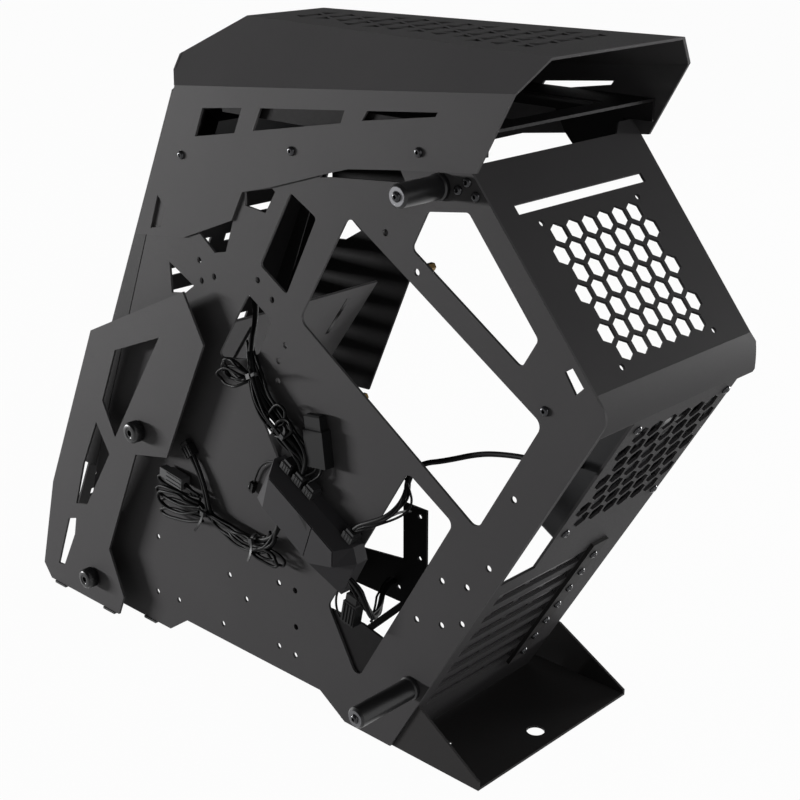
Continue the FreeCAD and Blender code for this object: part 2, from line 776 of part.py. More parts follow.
def make_top_bracket():
    """Fan rail under the roof: a channel with its flanges down, and long fan slots."""
    body = new_body("top_rail_blank")
    half = size("case_width") / 2 - size("plate_gauge")
    gauge = size("plate_gauge")
    top = roof_top() - size("bracket_drop")
    low = top - size("bracket_flange")
    sketch = add_sketch(body, "YZ_Plane", "sizes.nose_x + 26")
    draw(sketch, [(-half, low), (-half, top), (half, top), (half, low), (half - gauge, low),
                  (half - gauge, top - gauge), (-half + gauge, top - gauge), (-half + gauge, low)])
    pad(body, sketch, "sizes.bracket_length")
    start = size("nose_x") + 46
    reach = size("fan_pitch") / 2
    windows = [box_points(start + k * 112, start + k * 112 + 100, -reach + 8, reach - 8) for k in range(2)]
    rails = [box_points(start, start + 212, side * reach - 2.2, side * reach + 2.2) for side in (-1, 1)]
    lid = FreeCAD.Placement(V(0, 0, top), FreeCAD.Rotation())
    rail = cut(body, [cutter("bracket_cuts", windows + rails, [], lid)], "top_rail")
    tab = new_body("top_rail_tab")
    sketch = add_sketch(tab, "XZ_Plane", "-sizes.case_width / 2 + sizes.plate_gauge")
    draw(sketch, [nose(190, -60), under_roof(60, 6), under_roof(74, 7), under_roof(82, 18), under_roof(87, 69),
                  under_roof(78.5, 70)])
    pad(tab, sketch, "sizes.plate_gauge")
    bracket = doc.addObject("Part::Fuse", "top_fan_bracket")
    bracket.Base = rail
    bracket.Tool = tab
    doc.recompute()
    keep(bracket, "top_fan_bracket")


# Front
def front_along(z):
    """Distance down the front slope of a height."""
    return (roof_top() - z) / math.sin(math.radians(size("front_slope")))


def make_front_panel():
    """Front panel: a sheet on the front slope with slotted vents and a tapered flange at each side."""
    half = size("case_width") / 2
    gauge = size("plate_gauge")
    lean = math.radians(size("roof_chamfer"))
    fold = roof_top() - (half + gauge - size("roof_front_half")) * math.tan(lean)
    crown = [(front_along(roof_top() - 13), size("roof_front_half") - 1), (front_along(fold - 6), half)]
    step, base = front_along(size("front_step")), front_along(62)
    narrow = half - size("front_inset")
    side = crown + [(step, half), (step, narrow), (base, narrow)]
    body = new_body("front_panel_blank")
    sketch = add_sketch(body, "XY_Plane")
    draw(sketch, side + [(x, -y) for x, y in reversed(side)])
    pad(body, sketch, "sizes.plate_gauge")
    on_front(body)
    vents = []
    for k in range(14):
        x = 160 + 25 * k
        vents += [box_points(x, x + 9, y, y + 58) for y in (-66, 8)]
    button_s = front_along(roof_top() - 84)
    ports = [box_points(button_s - 3.5, button_s + 3.5, y, y + 14) for y in (14, 34)]
    holes = [(button_s, -34, size("power_button") + 2 * size("button_gap")),
             (button_s, -8, size("reset_button") + 2 * size("button_gap"))]
    face = cut(body, [cutter("front_cuts", vents + ports, holes, front_frame())], "front_face")
    flanges = []
    for name, offset in (("near", "sizes.case_width / 2 - sizes.plate_gauge"), ("far", "-sizes.case_width / 2")):
        strip = new_body("front_flange_" + name)
        sketch = add_sketch(strip, "XZ_Plane", offset)
        high, low = fold - 8, size("front_step") + 1
        back = [(tray_edge(z)[0] - 1, z) for z in (high, low)]
        edge = gauge / 4 - size("front_proud")
        draw(sketch, [front(high, edge)] + back + [front(low, edge)])
        pad(strip, sketch, "sizes.plate_gauge")
        flanges.append(strip)
    panel = doc.addObject("Part::MultiFuse", "front_panel")
    panel.Shapes = [face] + flanges
    doc.recompute()
    keep(panel, "front_panel")
    make_front_module(button_s)


def make_front_module(button_s):
    """Button and port module behind the front panel, with its two push buttons."""
    gauge, depth = size("plate_gauge"), size("module_depth")
    gap = size("button_gap")
    block = Part.makeBox(28, 112, depth, V(button_s - 14, -54, gauge))
    buttons = (("power_button", -34, size("power_button")), ("reset_button", -8, size("reset_button")))
    for _, y, diameter in buttons:
        bore = Part.makeCylinder(diameter / 2 + gap, depth - 2, V(button_s, y, 0))
        block = block.cut(bore)
    for y in (14, 34):
        block = block.cut(Part.makeBox(7, 14, depth - 3, V(button_s - 3.5, y, 0)))
    module = doc.addObject("Part::Feature", "front_io_module")
    module.Shape = block
    module.Placement = front_frame()
    keep(module, "front_io_module")
    travel_room = 3.0
    for label, y, diameter in buttons:
        length = size("button_proud") + depth - 2 + gauge - travel_room - gauge
        button = doc.addObject("Part::Cylinder", label)
        button.Radius = diameter / 2
        button.Height = length
        shape = Part.makeCylinder(diameter / 2, length, V(button_s, y, -size("button_proud")))
        rim = [edge for edge in shape.Edges if abs(edge.BoundBox.ZMin + size("button_proud")) < 0.01]
        shape = shape.makeFillet(0.8, [edge for edge in rim if edge.BoundBox.ZLength < 0.01])
        doc.removeObject(button.Name)
        piece = doc.addObject("Part::Feature", label)
        piece.Shape = shape
        piece.Placement = front_frame()
        keep(piece, label)


def leg_outline():
    """Side view of a front leg plate, from its top front corner clockwise."""
    return [base(-199, 261), base(-74, 319), base(-52, 281), base(-106, 173), base(-148, 164), base(-196, 61),
            base(-179, 20), base(-188, 0), base(-291, 0), base(-301, 13), base(-275, 102)]


def leg_windows():
    """Cut-outs of a leg plate."""
    high = [base(-167, 251), base(-107, 275), base(-175, 172), base(-190, 201)]
    middle = [base(-201, 179), base(-185, 154), base(-224, 95), base(-241, 91), base(-225, 134)]
    low = [base(-255, 72), base(-243, 76), base(-247, 59), base(-268, 21), base(-277, 20)]
    return [high, middle, low]


def leg_fixings():
    """Places (x, z) of a leg's two posts."""
    return [base(-140, 188), base(-222, 26)]


def make_legs():
    """Front leg plates outside both sides, on posts, each held by two knobs."""
    for side, offset in (("near", "sizes.case_width / 2 + sizes.leg_gap"),
                         ("far", "-sizes.case_width / 2 - sizes.leg_gap - sizes.plate_gauge")):
        body = new_body(side + "_front_leg")
        sketch = add_sketch(body, "XZ_Plane", offset)
        draw(sketch, leg_outline())
        for points in leg_windows():
            draw(sketch, points)
        pad(body, sketch, "sizes.plate_gauge")
        keep(body, side + "_front_leg")
    half = size("case_width") / 2
    outer = half + size("leg_gap") + size("plate_gauge")
    posts, knobs = [], []
    for way in (-1, 1):
        for x, z in leg_fixings():
            posts.append(Part.makeCylinder(size("leg_post") / 2, size("leg_gap"), V(x, way * half, z), V(0, way, 0)))
            knob = Part.makeCylinder(size("knob_size") / 2, size("knob_length"), V(x, way * outer, z), V(0, way, 0))
            rim = [e for e in knob.Edges if e.BoundBox.YLength < 0.01 and abs(e.BoundBox.YMin) > outer + 1]
            knob = knob.makeChamfer(1.5, rim)
            socket = Part.makeCylinder(3, 4, V(x, way * (outer + size("knob_length") - 4), z), V(0, way, 0))
            knobs.append(knob.cut(socket))
    for label, solids in (("leg_posts", posts), ("leg_knobs", knobs)):
        group = doc.addObject("Part::Feature", label)
        group.Shape = Part.makeCompound(solids)
        keep(group, label)


def make_far_plate():
    """Plate on the board side that carries the far leg and closes the front."""
    body = new_body("far_front_plate")
    sketch = add_sketch(body, "XZ_Plane", "-sizes.case_width / 2")
    top = roof_top() - size("bracket_drop") - 6
    draw(sketch, [tray_edge(top), (size("nose_x") + 120, top), nose(120, -97), nose(42, -130), rear(-336.5, -15),
                  rear(-384.5, -123), rear(-426.5, -125), base(-137, 118), base(-178, 20), base(-188, 0),
                  base(-238, 0), base(-240, 86), tray_edge(140)])
    draw(sketch, [rear(-422, 7), rear(-409, 26), rear(-403, 27), rear(-392, 19), rear(-411, 8)])
    draw(sketch, [rear(-439, 57), rear(-426, 59), rear(-426, 65), rear(-438, 64)])
    draw(sketch, [base(-217, 78), base(-192, 78), base(-178, 134), base(-206, 138)])
    for x, z in roof_screw_places()[:2]:
        ring(sketch, x, z, screw_hole())
    pad(body, sketch, "sizes.plate_gauge")
    keep(body, "far_front_plate")


def make_radiator_bracket():
    """Slanted fan plate inside the front, with slots and a flange on the tray."""
    body = new_body("radiator_blank")
    sketch = add_sketch(body, "XY_Plane")
    near = -size("case_width") / 2 + size("plate_gauge")
    draw(sketch, box_points(0, size("radiator_length"), near, near + size("radiator_width")))
    for y in (near + 22, near + 22 + size("fan_pitch")):
        for x in (12, 72):
            draw(sketch, box_points(x, x + 45, y - 2.2, y + 2.2))
    pad(body, sketch, "sizes.plate_gauge")
    place(body, "sizes.nose_x + 30", "0", ROOF_TOP + " - 219", "180 - sizes.radiator_slope")
    flange = new_body("radiator_flange")
    sketch = add_sketch(flange, "XZ_Plane", "sizes.case_width / 2 - 2 * sizes.plate_gauge")
    lean = math.radians(size("radiator_slope"))
    down, side = V(-math.cos(lean), -math.sin(lean), 0), V(math.sin(lean), -math.cos(lean), 0)
    tip = V(*nose(30, -219), 0)
    corners = [tip + down * 6, tip + down * (size("radiator_length") - 6)]
    inner = [corner - side * 16 for corner in reversed(corners)]
    draw(sketch, [(p.x, p.y) for p in [c + side * 0.5 for c in corners] + inner])
    pad(flange, sketch, "sizes.plate_gauge")
    bracket = doc.addObject("Part::MultiFuse", "front_radiator_bracket")
    bracket.Shapes = [body, flange]
    doc.recompute()
    keep(bracket, "front_radiator_bracket")


def make_drive_bracket():
    """Angled drive bracket behind the lower window: a plate with an arm, a web, and a flange on the tray."""
    half = size("case_width") / 2
    gauge = size("plate_gauge")
    plate = new_body("drive_plate")
    sketch = add_sketch(plate, "XZ_Plane", "sizes.case_width / 2 - 60")
    draw(sketch, [base(89, 170), base(113, 170), base(113, 120), base(94, 84), base(37, 30), base(33, 34),
                  base(86, 84), base(20, 84), base(20, 114), base(89, 122)])
    for place_on in (base(106, 163), base(106, 128), base(84, 96), base(40, 101)):
        ring(sketch, *place_on, 4)
    pad(plate, sketch, "sizes.plate_gauge")
    foot = doc.addObject("Part::Box", "drive_foot")
    foot.setExpression("Length", "sizes.plate_gauge")
    foot.Width = 60 - gauge
    foot.Height = 30
    corner = V(base(20, 0)[0], -half + gauge, base(0, 84)[1])
    foot.Placement = FreeCAD.Placement(corner, FreeCAD.Rotation())
    flange = new_body("drive_flange")
    sketch = add_sketch(flange, "XZ_Plane", "sizes.case_width / 2 - 2 * sizes.plate_gauge")
    draw(sketch, [base(18, 92), base(100, 92), base(131, 85), base(122, 62), base(104, 46), base(84, 44),
                  base(18, 54)])
    pad(flange, sketch, "sizes.plate_gauge")
    bracket = doc.addObject("Part::MultiFuse", "drive_bracket")
    bracket.Shapes = [plate, foot, flange]
    doc.recompute()
    keep(bracket, "drive_bracket")


# Stand and feet
def make_stand():
    """Rear stand: a base plate with upturned side flanges inside and outside of the rear panel."""
    half = size("case_width") / 2 - size("plate_gauge")
    floor, gauge = size("foot_pad"), size("plate_gauge")
    start, end = size("stand_front"), size("stand_rear")
    base = new_body("stand_base")
    sketch = add_sketch(base, "XY_Plane", "sizes.foot_pad")
    draw(sketch, box_points(start, end, -half, half))
    ring(sketch, end - 17.5, -2, 14)
    ring(sketch, end - 55, -60, 5)
    pad(base, sketch, "sizes.plate_gauge")
    rise = floor + gauge - 0.2
    inner = [(start, rise), lower_at(rise, 2 * gauge), lower_at(floor + 40, 2 * gauge), (start + 42, floor + 40),
             (start, floor + 16)]
    clear = -0.6
    outer = [lower_at(rise, clear), (end, rise), (end, floor + 7), lower_at(floor + 45, clear)]
    whole = [(start, rise), (end, rise), (end, floor + 5), (start + 75, floor + 41), (start, floor + 41)]
    near = "sizes.case_width / 2 - 2 * sizes.plate_gauge"
    far = "-sizes.case_width / 2 + sizes.plate_gauge"
    flanges = []
    for offset, points in ((near, inner), (near, outer), (far, whole)):
        strip = new_body("stand_flange")
        sketch = add_sketch(strip, "XZ_Plane", offset)
        draw(sketch, points)
        pad(strip, sketch, "sizes.plate_gauge")
        flanges.append(strip)
    stand = doc.addObject("Part::MultiFuse", "rear_stand")
    stand.Shapes = [base] + flanges
    doc.recompute()
    keep(stand, "rear_stand")


def make_feet():
    """Small rubber pads under the stand, the legs and the plates' front feet."""
    pad_height = size("foot_pad")
    half = size("case_width") / 2
    leg = half + size("leg_gap") + size("plate_gauge") / 2
    strips = []
    length, width = 16, 2 * size("plate_gauge")
    rear_places = (size("stand_front") + 12, size("stand_rear") - 30)
    for way, tab in ((-1, -170), (1, -222)):
        places = [(base(x, 0)[0], leg, width) for x in (-284, -210)] + [(base(tab, 0)[0], half - 1, width)]
        places += [(x, half - 16, length) for x in rear_places]
        for x, y, across in places:
            strips.append(Part.makeBox(length, across, pad_height, V(x, way * y - across / 2, 0)))
    group = doc.addObject("Part::Feature", "rubber_feet")
    group.Shape = Part.makeCompound(strips)
    keep(group, "rubber_feet")


# Standoffs for the side panels
def make_standoffs():
    """Round standoffs for the side panels, with a screw in each free end."""
    half = size("case_width") / 2
    gauge = size("plate_gauge")
    reach = half + size("lower_standoff")
    ends = [("near_upper_standoff", under_roof(85, 36.5), -half, -half - size("upper_standoff")),
            ("near_lower_standoff", rear(-163, -252), -half, -reach),
            ("far_upper_standoff", under_roof(60, 9), half + gauge, half + size("upper_standoff")),
            ("far_lower_standoff", (size("stand_front") + 10, size("foot_pad") + 26), half - gauge, reach)]
    seats = []
    for label, (x, z), root, tip in ends:
        way = 1 if tip > root else -1
        radius = size("standoff_size") / 2
        profile = [(0, 0), (radius + 1, 0), (radius + 1, 3), (radius, 4), (radius, abs(tip - root) - 1.5),
                   (radius - 1.5, abs(tip - root)), (size("screw_shank") / 2 + 0.1, abs(tip - root)),
                   (size("screw_shank") / 2 + 0.1, abs(tip - root) - 12), (0, abs(tip - root) - 12)]
        points = [V(r, 0, along) for r, along in profile]
        shape = Part.Face(Part.makePolygon(points + points[:1])).revolve(V(0, 0, 0), V(0, 0, 1), 360)
        piece = doc.addObject("Part::Feature", label)
        piece.Shape = shape
        piece.Placement = FreeCAD.Placement(V(x, root, z), FreeCAD.Rotation(V(0, 0, 1), V(0, way, 0)))
        keep(piece, label)
        seats.append(((x, tip, z), (0, way, 0)))
    make_screws("standoff_screws", seats, 10)


def make_board_pillars():
    """Brass pillars for the motherboard on the tray's inner face."""
    inner = -size("case_width") / 2 + size("plate_gauge")
    pillars = []
    for x, z in board_holes():
        points = [V(x + size("board_pillar") / 2 * math.cos(math.radians(60 * k)), inner,
                    z + size("board_pillar") / 2 * math.sin(math.radians(60 * k))) for k in range(6)]
        pillar = Part.Face(Part.makePolygon(points + points[:1])).extrude(V(0, size("pillar_height"), 0))
        pillars.append(pillar.cut(Part.makeCylinder(1.25, 20, V(x, inner + 1, z), Y_AXIS)))
    group = doc.addObject("Part::Feature", "board_pillars")
    group.Shape = Part.makeCompound(pillars)
    keep(group, "board_pillars")


# Controller hub and cables
HUB_TURN = -29


def hub_point(along, across, y):
    """Point in the hub's own frame: along its length, across it, and the case's Y."""
    turn = math.radians(HUB_TURN)
    x, z = base(56, 163)
    x += along * math.cos(turn) - across * math.sin(turn)
    z += along * math.sin(turn) + across * math.cos(turn)
    return V(x, y, z)


def make_hub():
    """Fan and light controller on the tray: a bevelled box with a row of plugs."""
    face = -size("case_width") / 2
    length, width, height = size("hub_length") / 2, size("hub_width") / 2, size("hub_height")
    bevel = 7
    outline = [(-length, -width), (length, -width), (length, width - 9), (length - 9, width), (-length, width)]
    sections = []
    for inset, y in ((0, face), (0, face - height + bevel), (bevel, face - height)):
        corners = []
        for a, b in outline:
            corners.append(hub_point(a - math.copysign(inset, a), b - math.copysign(inset, b), y))
        sections.append(Part.makePolygon(corners + corners[:1]))
    body = Part.makeLoft(sections[:2], True, True).fuse(Part.makeLoft(sections[1:], True, True)).removeSplitter()
    hub = doc.addObject("Part::Feature", "controller_hub")
    hub.Shape = body
    keep(hub, "controller_hub")
    plugs = []
    for k in range(6):
        along = -40 + 15 * k
        near, far = face - 5, face - 11
        base = [hub_point(along - 4.5, width, near), hub_point(along + 4.5, width, near),
                hub_point(along + 4.5, width, far), hub_point(along - 4.5, width, far)]
        wall = Part.Face(Part.makePolygon(base + base[:1]))
        plugs.append(wall.extrude(hub_point(0, 9, 0) - hub_point(0, 0, 0)))
    group = doc.addObject("Part::Feature", "hub_plugs")
    group.Shape = Part.makeCompound(plugs)
    keep(group, "hub_plugs")


def cable_wire(points):
    """Straight runs joined by the largest tangent arcs that the runs allow, with the smallest radius."""
    edges = []
    radii = []
    start = points[0]
    for before, corner, after in zip(points, points[1:], points[2:]):
        back, ahead = before - corner, after - corner
        run = min(back.Length, ahead.Length)
        half_turn = (math.pi - back.getAngle(ahead)) / 2
        reach = 0.45 * run
        radius = reach / math.tan(half_turn)
        back.normalize()
        ahead.normalize()
        inward = (back + ahead).normalize()
        entry, leave = corner + back * reach, corner + ahead * reach
        middle = corner + inward * (radius / math.cos(half_turn) - radius)
        edges.append(Part.LineSegment(start, entry).toShape())
        edges.append(Part.Arc(entry, middle, leave).toShape())
        radii.append(radius)
        start = leave
    edges.append(Part.LineSegment(start, points[-1]).toShape())
    return Part.Wire(edges), min(radii)


def make_cable(label, points, diameter):
    """Round cable along a route of points, checked against its section times its length."""
    route = list(points)
    wire, tightest = cable_wire(route)
    section = Part.Wire([Part.Circle(route[0], route[1] - route[0], diameter / 2).toShape()])
    shape = wire.makePipeShell([section], True, True)
    expected = math.pi * diameter ** 2 / 4 * wire.Length
    if abs(shape.Volume - expected) > 0.02 * expected:
        raise RuntimeError("cable %s has the wrong volume" % label)
    print("%s: length %.0f mm, tightest radius %.1f mm" % (label, wire.Length, tightest))
    cable = doc.addObject("Part::Feature", label)
    cable.Shape = shape
    keep(cable, label)


def front_point(along, y, depth):
    """Point behind the front slope, in the case's frame."""
    return front_frame().multVec(V(along, y, depth))


def panel_point(along, y, depth):
    """Point behind the lower rear panel, in the case's frame."""
    return lower_frame().multVec(V(along, y, -depth))


def make_cables():
    """Cables of the hub: to the front module, to the rear fan, to the drive bracket, and to a tied hank."""
    face = -size("case_width") / 2
    side, end = size("hub_width") / 2, size("hub_length") / 2
    module_back = size("plate_gauge") + size("module_depth")
    module_along = front_along(roof_top() - 84) + 5
    front_route = [hub_point(-25, side + 9, face - 8), hub_point(-25, side + 20, face - 8),
                   by_tray(52, -9, 227), by_tray(40, -9, 239), by_tray(22, -9, 252), by_tray(8, -8, 266),
                   by_tray(-5, -6, 281), by_tray(-16, 3, 292), by_tray(-24, 14, 300), by_tray(-29, 20, 318),
                   by_tray(-40, 24, 340), by_tray(-52, 30, 364), by_tray(-60, 37, 388), by_tray(-66, 44, 408),
                   front_point(module_along, -46, module_back + 12), front_point(module_along, -46, module_back)]
    fan_side = size("lower_fan_y") - size("fan_frame") / 2
    lead_end = panel_point(size("fan_along") - 5.3, fan_side, size("plate_gauge") + 13)
    lead_route = [hub_point(35, side + 9, face - 8), hub_point(35, side + 19, face - 8), by_tray(119, -7.5, 192),
                  by_tray(131.5, -5.5, 197.5), by_tray(138, 0.5, 202.5), by_tray(138.5, 7.5, 209.5),
                  by_tray(137, 12, 218), by_tray(140, 15, 228), by_tray(149, 17.5, 234), by_tray(160, 20, 237.5),
                  by_tray(171.5, 22.5, 242), by_tray(184, 24, 247.5), by_tray(196.5, 25, 252),
                  by_tray(209, 25.5, 255), by_tray(222, 25.5, 257.5), by_tray(235.5, 25, 259.5),
                  lead_end + V(-9, -21, 0.5), lead_end + V(0, -12.2, 0), lead_end]
    power_route = [hub_point(end, -6, face - 9), hub_point(end + 11, -6, face - 9), by_tray(114.5, -9, 119.5),
                   by_tray(115, -4.5, 109), by_tray(110, 4, 102), by_tray(103, 15, 99.5), by_tray(95.5, 26, 100),
                   by_tray(87.5, 36, 101.5), by_tray(81.5, 46.5, 102.5), by_tray(80, 57.6, 102.5)]
    hank_route = [by_tray(-88, -6, 146), by_tray(-77, -6, 140.5), by_tray(-60, -7, 137.5), by_tray(-40, -7, 137),
                  by_tray(-21, -8, 134.5), by_tray(-4, -8, 135.5), by_tray(10, -8, 140),
                  hub_point(-25, -side - 11, face - 8), hub_point(-25, -side, face - 8)]
    make_cable("front_panel_cable", front_route, size("cable_size"))
    make_cable("fan_lead", lead_route, size("lead_size"))
    make_cable("hub_power_cable", power_route, size("cable_size"))
    make_cable("hub_front_cable", hank_route, size("cable_size"))


def make_hank():
    """Folded spare cable tied to the tray below the leg's post."""
    start, end = by_tray(-112, -6, 158), by_tray(-88, -6, 146)
    shape = Part.makeCylinder(6, (end - start).Length, start, end - start)
    hank = doc.addObject("Part::Feature", "cable_hank")
    hank.Shape = shape.fuse(Part.makeSphere(6, start)).removeSplitter()
    keep(hank, "cable_hank")


make_main_tray()
make_rear_panel()
make_slot_covers()
make_retention_bar()
make_rear_screws()
make_rear_fan()
make_roof()
make_side_screws()
make_top_bracket()
make_front_panel()
make_legs()
make_far_plate()
make_radiator_bracket()
make_drive_bracket()
make_stand()
make_feet()
make_standoffs()
make_board_pillars()
make_hub()
make_cables()
make_hank()
doc.recompute()

for item in doc.Objects:
    if "Invalid" in item.State or "Error" in item.State:
        raise RuntimeError("%s failed: %s" % (item.Label, item.State))
for piece in pieces:
    if piece.Shape.isNull() or not piece.Shape.isValid():
        raise RuntimeError("%s has no valid shape" % piece.Label)

os.makedirs("parts", exist_ok=True)
for piece in pieces:
    piece.Shape.exportStep("parts/%s.step" % piece.Label)
print("%d sub-parts written" % len(pieces))
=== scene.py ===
"""Looks of an open-frame mid tower computer case: powder coated sheet, plastics, screws and cables.

Everything is in metres, in the frame of the solids: X to the rear, Y to the board side, Z up. Tables of small sizes are
in millimetres.
"""

import logging
import math
import random
from dataclasses import dataclass, field
from enum import Enum
from typing import Any, Callable, Iterable, Optional, Sequence

import bmesh
import bpy
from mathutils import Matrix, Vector


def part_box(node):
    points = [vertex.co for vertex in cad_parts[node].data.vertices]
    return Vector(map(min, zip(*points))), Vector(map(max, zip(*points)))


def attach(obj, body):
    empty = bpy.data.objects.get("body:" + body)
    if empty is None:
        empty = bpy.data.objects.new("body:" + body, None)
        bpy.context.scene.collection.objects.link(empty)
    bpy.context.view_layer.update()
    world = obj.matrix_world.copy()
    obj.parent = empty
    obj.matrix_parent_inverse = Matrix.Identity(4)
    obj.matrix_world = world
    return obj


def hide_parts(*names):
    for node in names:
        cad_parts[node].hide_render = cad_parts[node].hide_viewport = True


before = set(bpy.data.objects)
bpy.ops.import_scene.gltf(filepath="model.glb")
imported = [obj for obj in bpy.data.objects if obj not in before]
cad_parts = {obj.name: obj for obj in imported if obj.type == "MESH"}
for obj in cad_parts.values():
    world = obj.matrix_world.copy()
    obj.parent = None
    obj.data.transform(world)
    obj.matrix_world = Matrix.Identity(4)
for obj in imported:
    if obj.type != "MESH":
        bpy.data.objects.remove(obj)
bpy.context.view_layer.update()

logging.basicConfig(level=logging.INFO, format="%(message)s")
log = logging.getLogger("case")

MM = 0.001
Point = tuple[float, float, float]
Pair = tuple[float, float]
Strand = tuple[Iterable[Point], float]
Ring = Callable[[float], Pair]

# Every coat has faint clouds in its colour, and a grit that varies its gloss and its relief
CLOUD_NOISE = {"Scale": 1 / (90 * MM), "Detail": 4.0}
CLOUD_SHARE = {"From Min": 0.35, "From Max": 0.75, "To Min": 0.0, "To Max": 0.45}
GRIT_NOISE = {"Detail": 3.0, "Roughness": 0.6}
GRIT_SPAN = {"From Min": 0.3, "From Max": 0.7}
GLOSS_SPREAD = 0.05
BUMP_STRENGTH = 0.35
DRAWN_STRETCH: Point = (1.0, 0.12, 1.0)
TURNED_STRETCH: Point = (1.0, 6.0, 1.0)

# Faces that meet below these angles, in degrees, are shaded smooth
SMOOTH_HEAD = 35.0
SMOOTH_KNURL = 50.0
SMOOTH_TIE = 40.0
SMOOTH_PLUG = 20.0
SMOOTH_FACET = 8.0


def linear(code: str) -> tuple[float, float, float, float]:
    """Turn an sRGB hex colour into linear RGBA.

    Args:
        code: Colour such as "2b2b2d".

    Returns:
        Linear red, green, blue and an alpha of 1.
    """
    parts = [int(code[i:i + 2], 16) / 255 for i in (0, 2, 4)]
    red, green, blue = [c / 12.92 if c <= 0.04045 else ((c + 0.055) / 1.055) ** 2.4 for c in parts]
    return red, green, blue, 1.0


def add_node(tree: bpy.types.NodeTree, kind: str, settings: dict[Any, Any], links: dict[Any, Any]) -> bpy.types.Node:
    """Add one shader node.

    Args:
        tree: Node tree to add to.
        kind: Blender's name of the node type.
        settings: Attributes of the node, or values of its inputs by name or number.
        links: Output sockets to link, by the input's name or number.

    Returns:
        The new node.
    """
    node = tree.nodes.new(kind)
    for key, value in settings.items():
        if isinstance(key, str) and hasattr(node, key):
            setattr(node, key, value)
        else:
            node.inputs[key].default_value = value
    for key, output in links.items():
        tree.links.new(output, node.inputs[key])
    return node


class Grain(Enum):
    """How a surface was made, which sets the pattern that it shows."""

    SPRAYED = "sprayed"
    MOULDED = "moulded"
    TURNED = "turned"
    DRAWN = "drawn"


@dataclass(frozen=True)
class Finish:
    """One surface finish, named for its material and how its surface was made."""

    name: str
    colour: str
    worn: str
    roughness: float
    grain_mm: float
    relief_mm: float
    grain: Grain = Grain.SPRAYED
    metallic: float = 0.0
    specular: float = 0.5

    def material(self) -> bpy.types.Material:
        """Build the material once, and find it again later.

        Returns:
            The node material of this finish.
        """
        found = bpy.data.materials.get(self.name)
        if found:
            return found
        made = bpy.data.materials.new(self.name)
        made.use_nodes = True
        tree = made.node_tree
        tree.nodes.clear()
        place = add_node(tree, "ShaderNodeTexCoord", {}, {}).outputs["Object"]
        grit = add_node(tree, "ShaderNodeTexNoise", {"Scale": 1 / (self.grain_mm * MM)} | GRIT_NOISE,
                        {"Vector": self.stretch(tree, place)}).outputs["Fac"]
        cloud = add_node(tree, "ShaderNodeTexNoise", CLOUD_NOISE, {"Vector": place})
        patches = add_node(tree, "ShaderNodeMapRange", CLOUD_SHARE, {"Value": cloud.outputs["Fac"]})
        tint = add_node(tree, "ShaderNodeMix", {"data_type": "RGBA", 6: linear(self.colour), 7: linear(self.worn)},
                        {"Factor": patches.outputs["Result"]})
        limits = {"To Min": self.roughness - GLOSS_SPREAD, "To Max": self.roughness + GLOSS_SPREAD}
        gloss = add_node(tree, "ShaderNodeMapRange", GRIT_SPAN | limits, {"Value": grit})
        bump = add_node(tree, "ShaderNodeBump", {"Strength": BUMP_STRENGTH, "Distance": self.relief_mm * MM},
                        {"Height": grit})
        shader = add_node(tree, "ShaderNodeBsdfPrincipled",
                          {"Metallic": self.metallic, "Specular IOR Level": self.specular},
                          {"Base Color": tint.outputs[2], "Roughness": gloss.outputs["Result"],
                           "Normal": bump.outputs["Normal"]})
        add_node(tree, "ShaderNodeOutputMaterial", {}, {"Surface": shader.outputs["BSDF"]})
        return made

    def stretch(self, tree: bpy.types.NodeTree, place: bpy.types.NodeSocket) -> bpy.types.NodeSocket:
        """Stretch the grain along a turned or drawn surface.

        Args:
            tree: Node tree of the material.
            place: Coordinates to stretch.

        Returns:
            Coordinates for the grain.
        """
        if self.grain in (Grain.SPRAYED, Grain.MOULDED):
            return place
        amount = DRAWN_STRETCH if self.grain is Grain.DRAWN else TURNED_STRETCH
        return add_node(tree, "ShaderNodeMapping", {"Scale": amount}, {"Vector": place}).outputs["Vector"]


# Powder coated steel: a fine orange peel that spreads the highlights; drawn at 1.4 mm so that it shows
POWDER_TRAY = Finish("powder_coated_steel_tray", "424142", "484748", 0.6, 1.4, 0.05, specular=0.07)
# The roof's coat is a little lighter and smoother than the tray's: the same powder, drawn lighter as painted light on
# the roof side
POWDER_ROOF_PAINTED_LIGHT = Finish("powder_coated_steel_roof_painted_light", "4d4c4d", "535253", 0.58, 1.4, 0.04, specular=0.04)
# The leg plates' coat lies between the two: the same powder, drawn lighter than the tray's as painted light on the legs
POWDER_LEG_PAINTED_LIGHT = Finish("powder_coated_steel_leg_painted_light", "464546", "4c4b4c", 0.58, 1.4, 0.05, specular=0.08)
# The radiator bracket's coat, the lightest: the same powder, drawn light grey as painted light on its lit face
POWDER_BRACKET_PAINTED_LIGHT = Finish("powder_coated_steel_bracket_painted_light", "565556", "5c5b5c", 0.56, 1.4, 0.05, specular=0.1)
# The rear panel's coat, darker than the tray's: the same powder, drawn darker as painted shade
POWDER_REAR_PAINTED_SHADE = Finish("powder_coated_steel_rear_painted_shade", "363536", "3c3b3c", 0.58, 1.4, 0.05, specular=0.07)
# The stand's coat: matte, the same powder drawn darker as painted shade on its base, which faces up away from the light
POWDER_STAND_PAINTED_SHADE = Finish("powder_coated_steel_stand_painted_shade", "262525", "2d2b2c", 0.62, 1.6, 0.06, specular=0.12)
# The front panel's coat, dark and matte: the same powder, drawn darker as painted shade against the low lamp at the
# left
POWDER_FRONT_PAINTED_SHADE = Finish("powder_coated_steel_front_painted_shade", "2a292a", "302f30", 0.6, 1.4, 0.05, specular=0.1)
# Powder coat deep in the case, drawn near black as painted shade of the inner plates and brackets
POWDER_DEEP_PAINTED_SHADE = Finish("powder_coated_steel_deep_painted_shade", "141314", "181718", 0.64, 1.4, 0.05, specular=0.06)
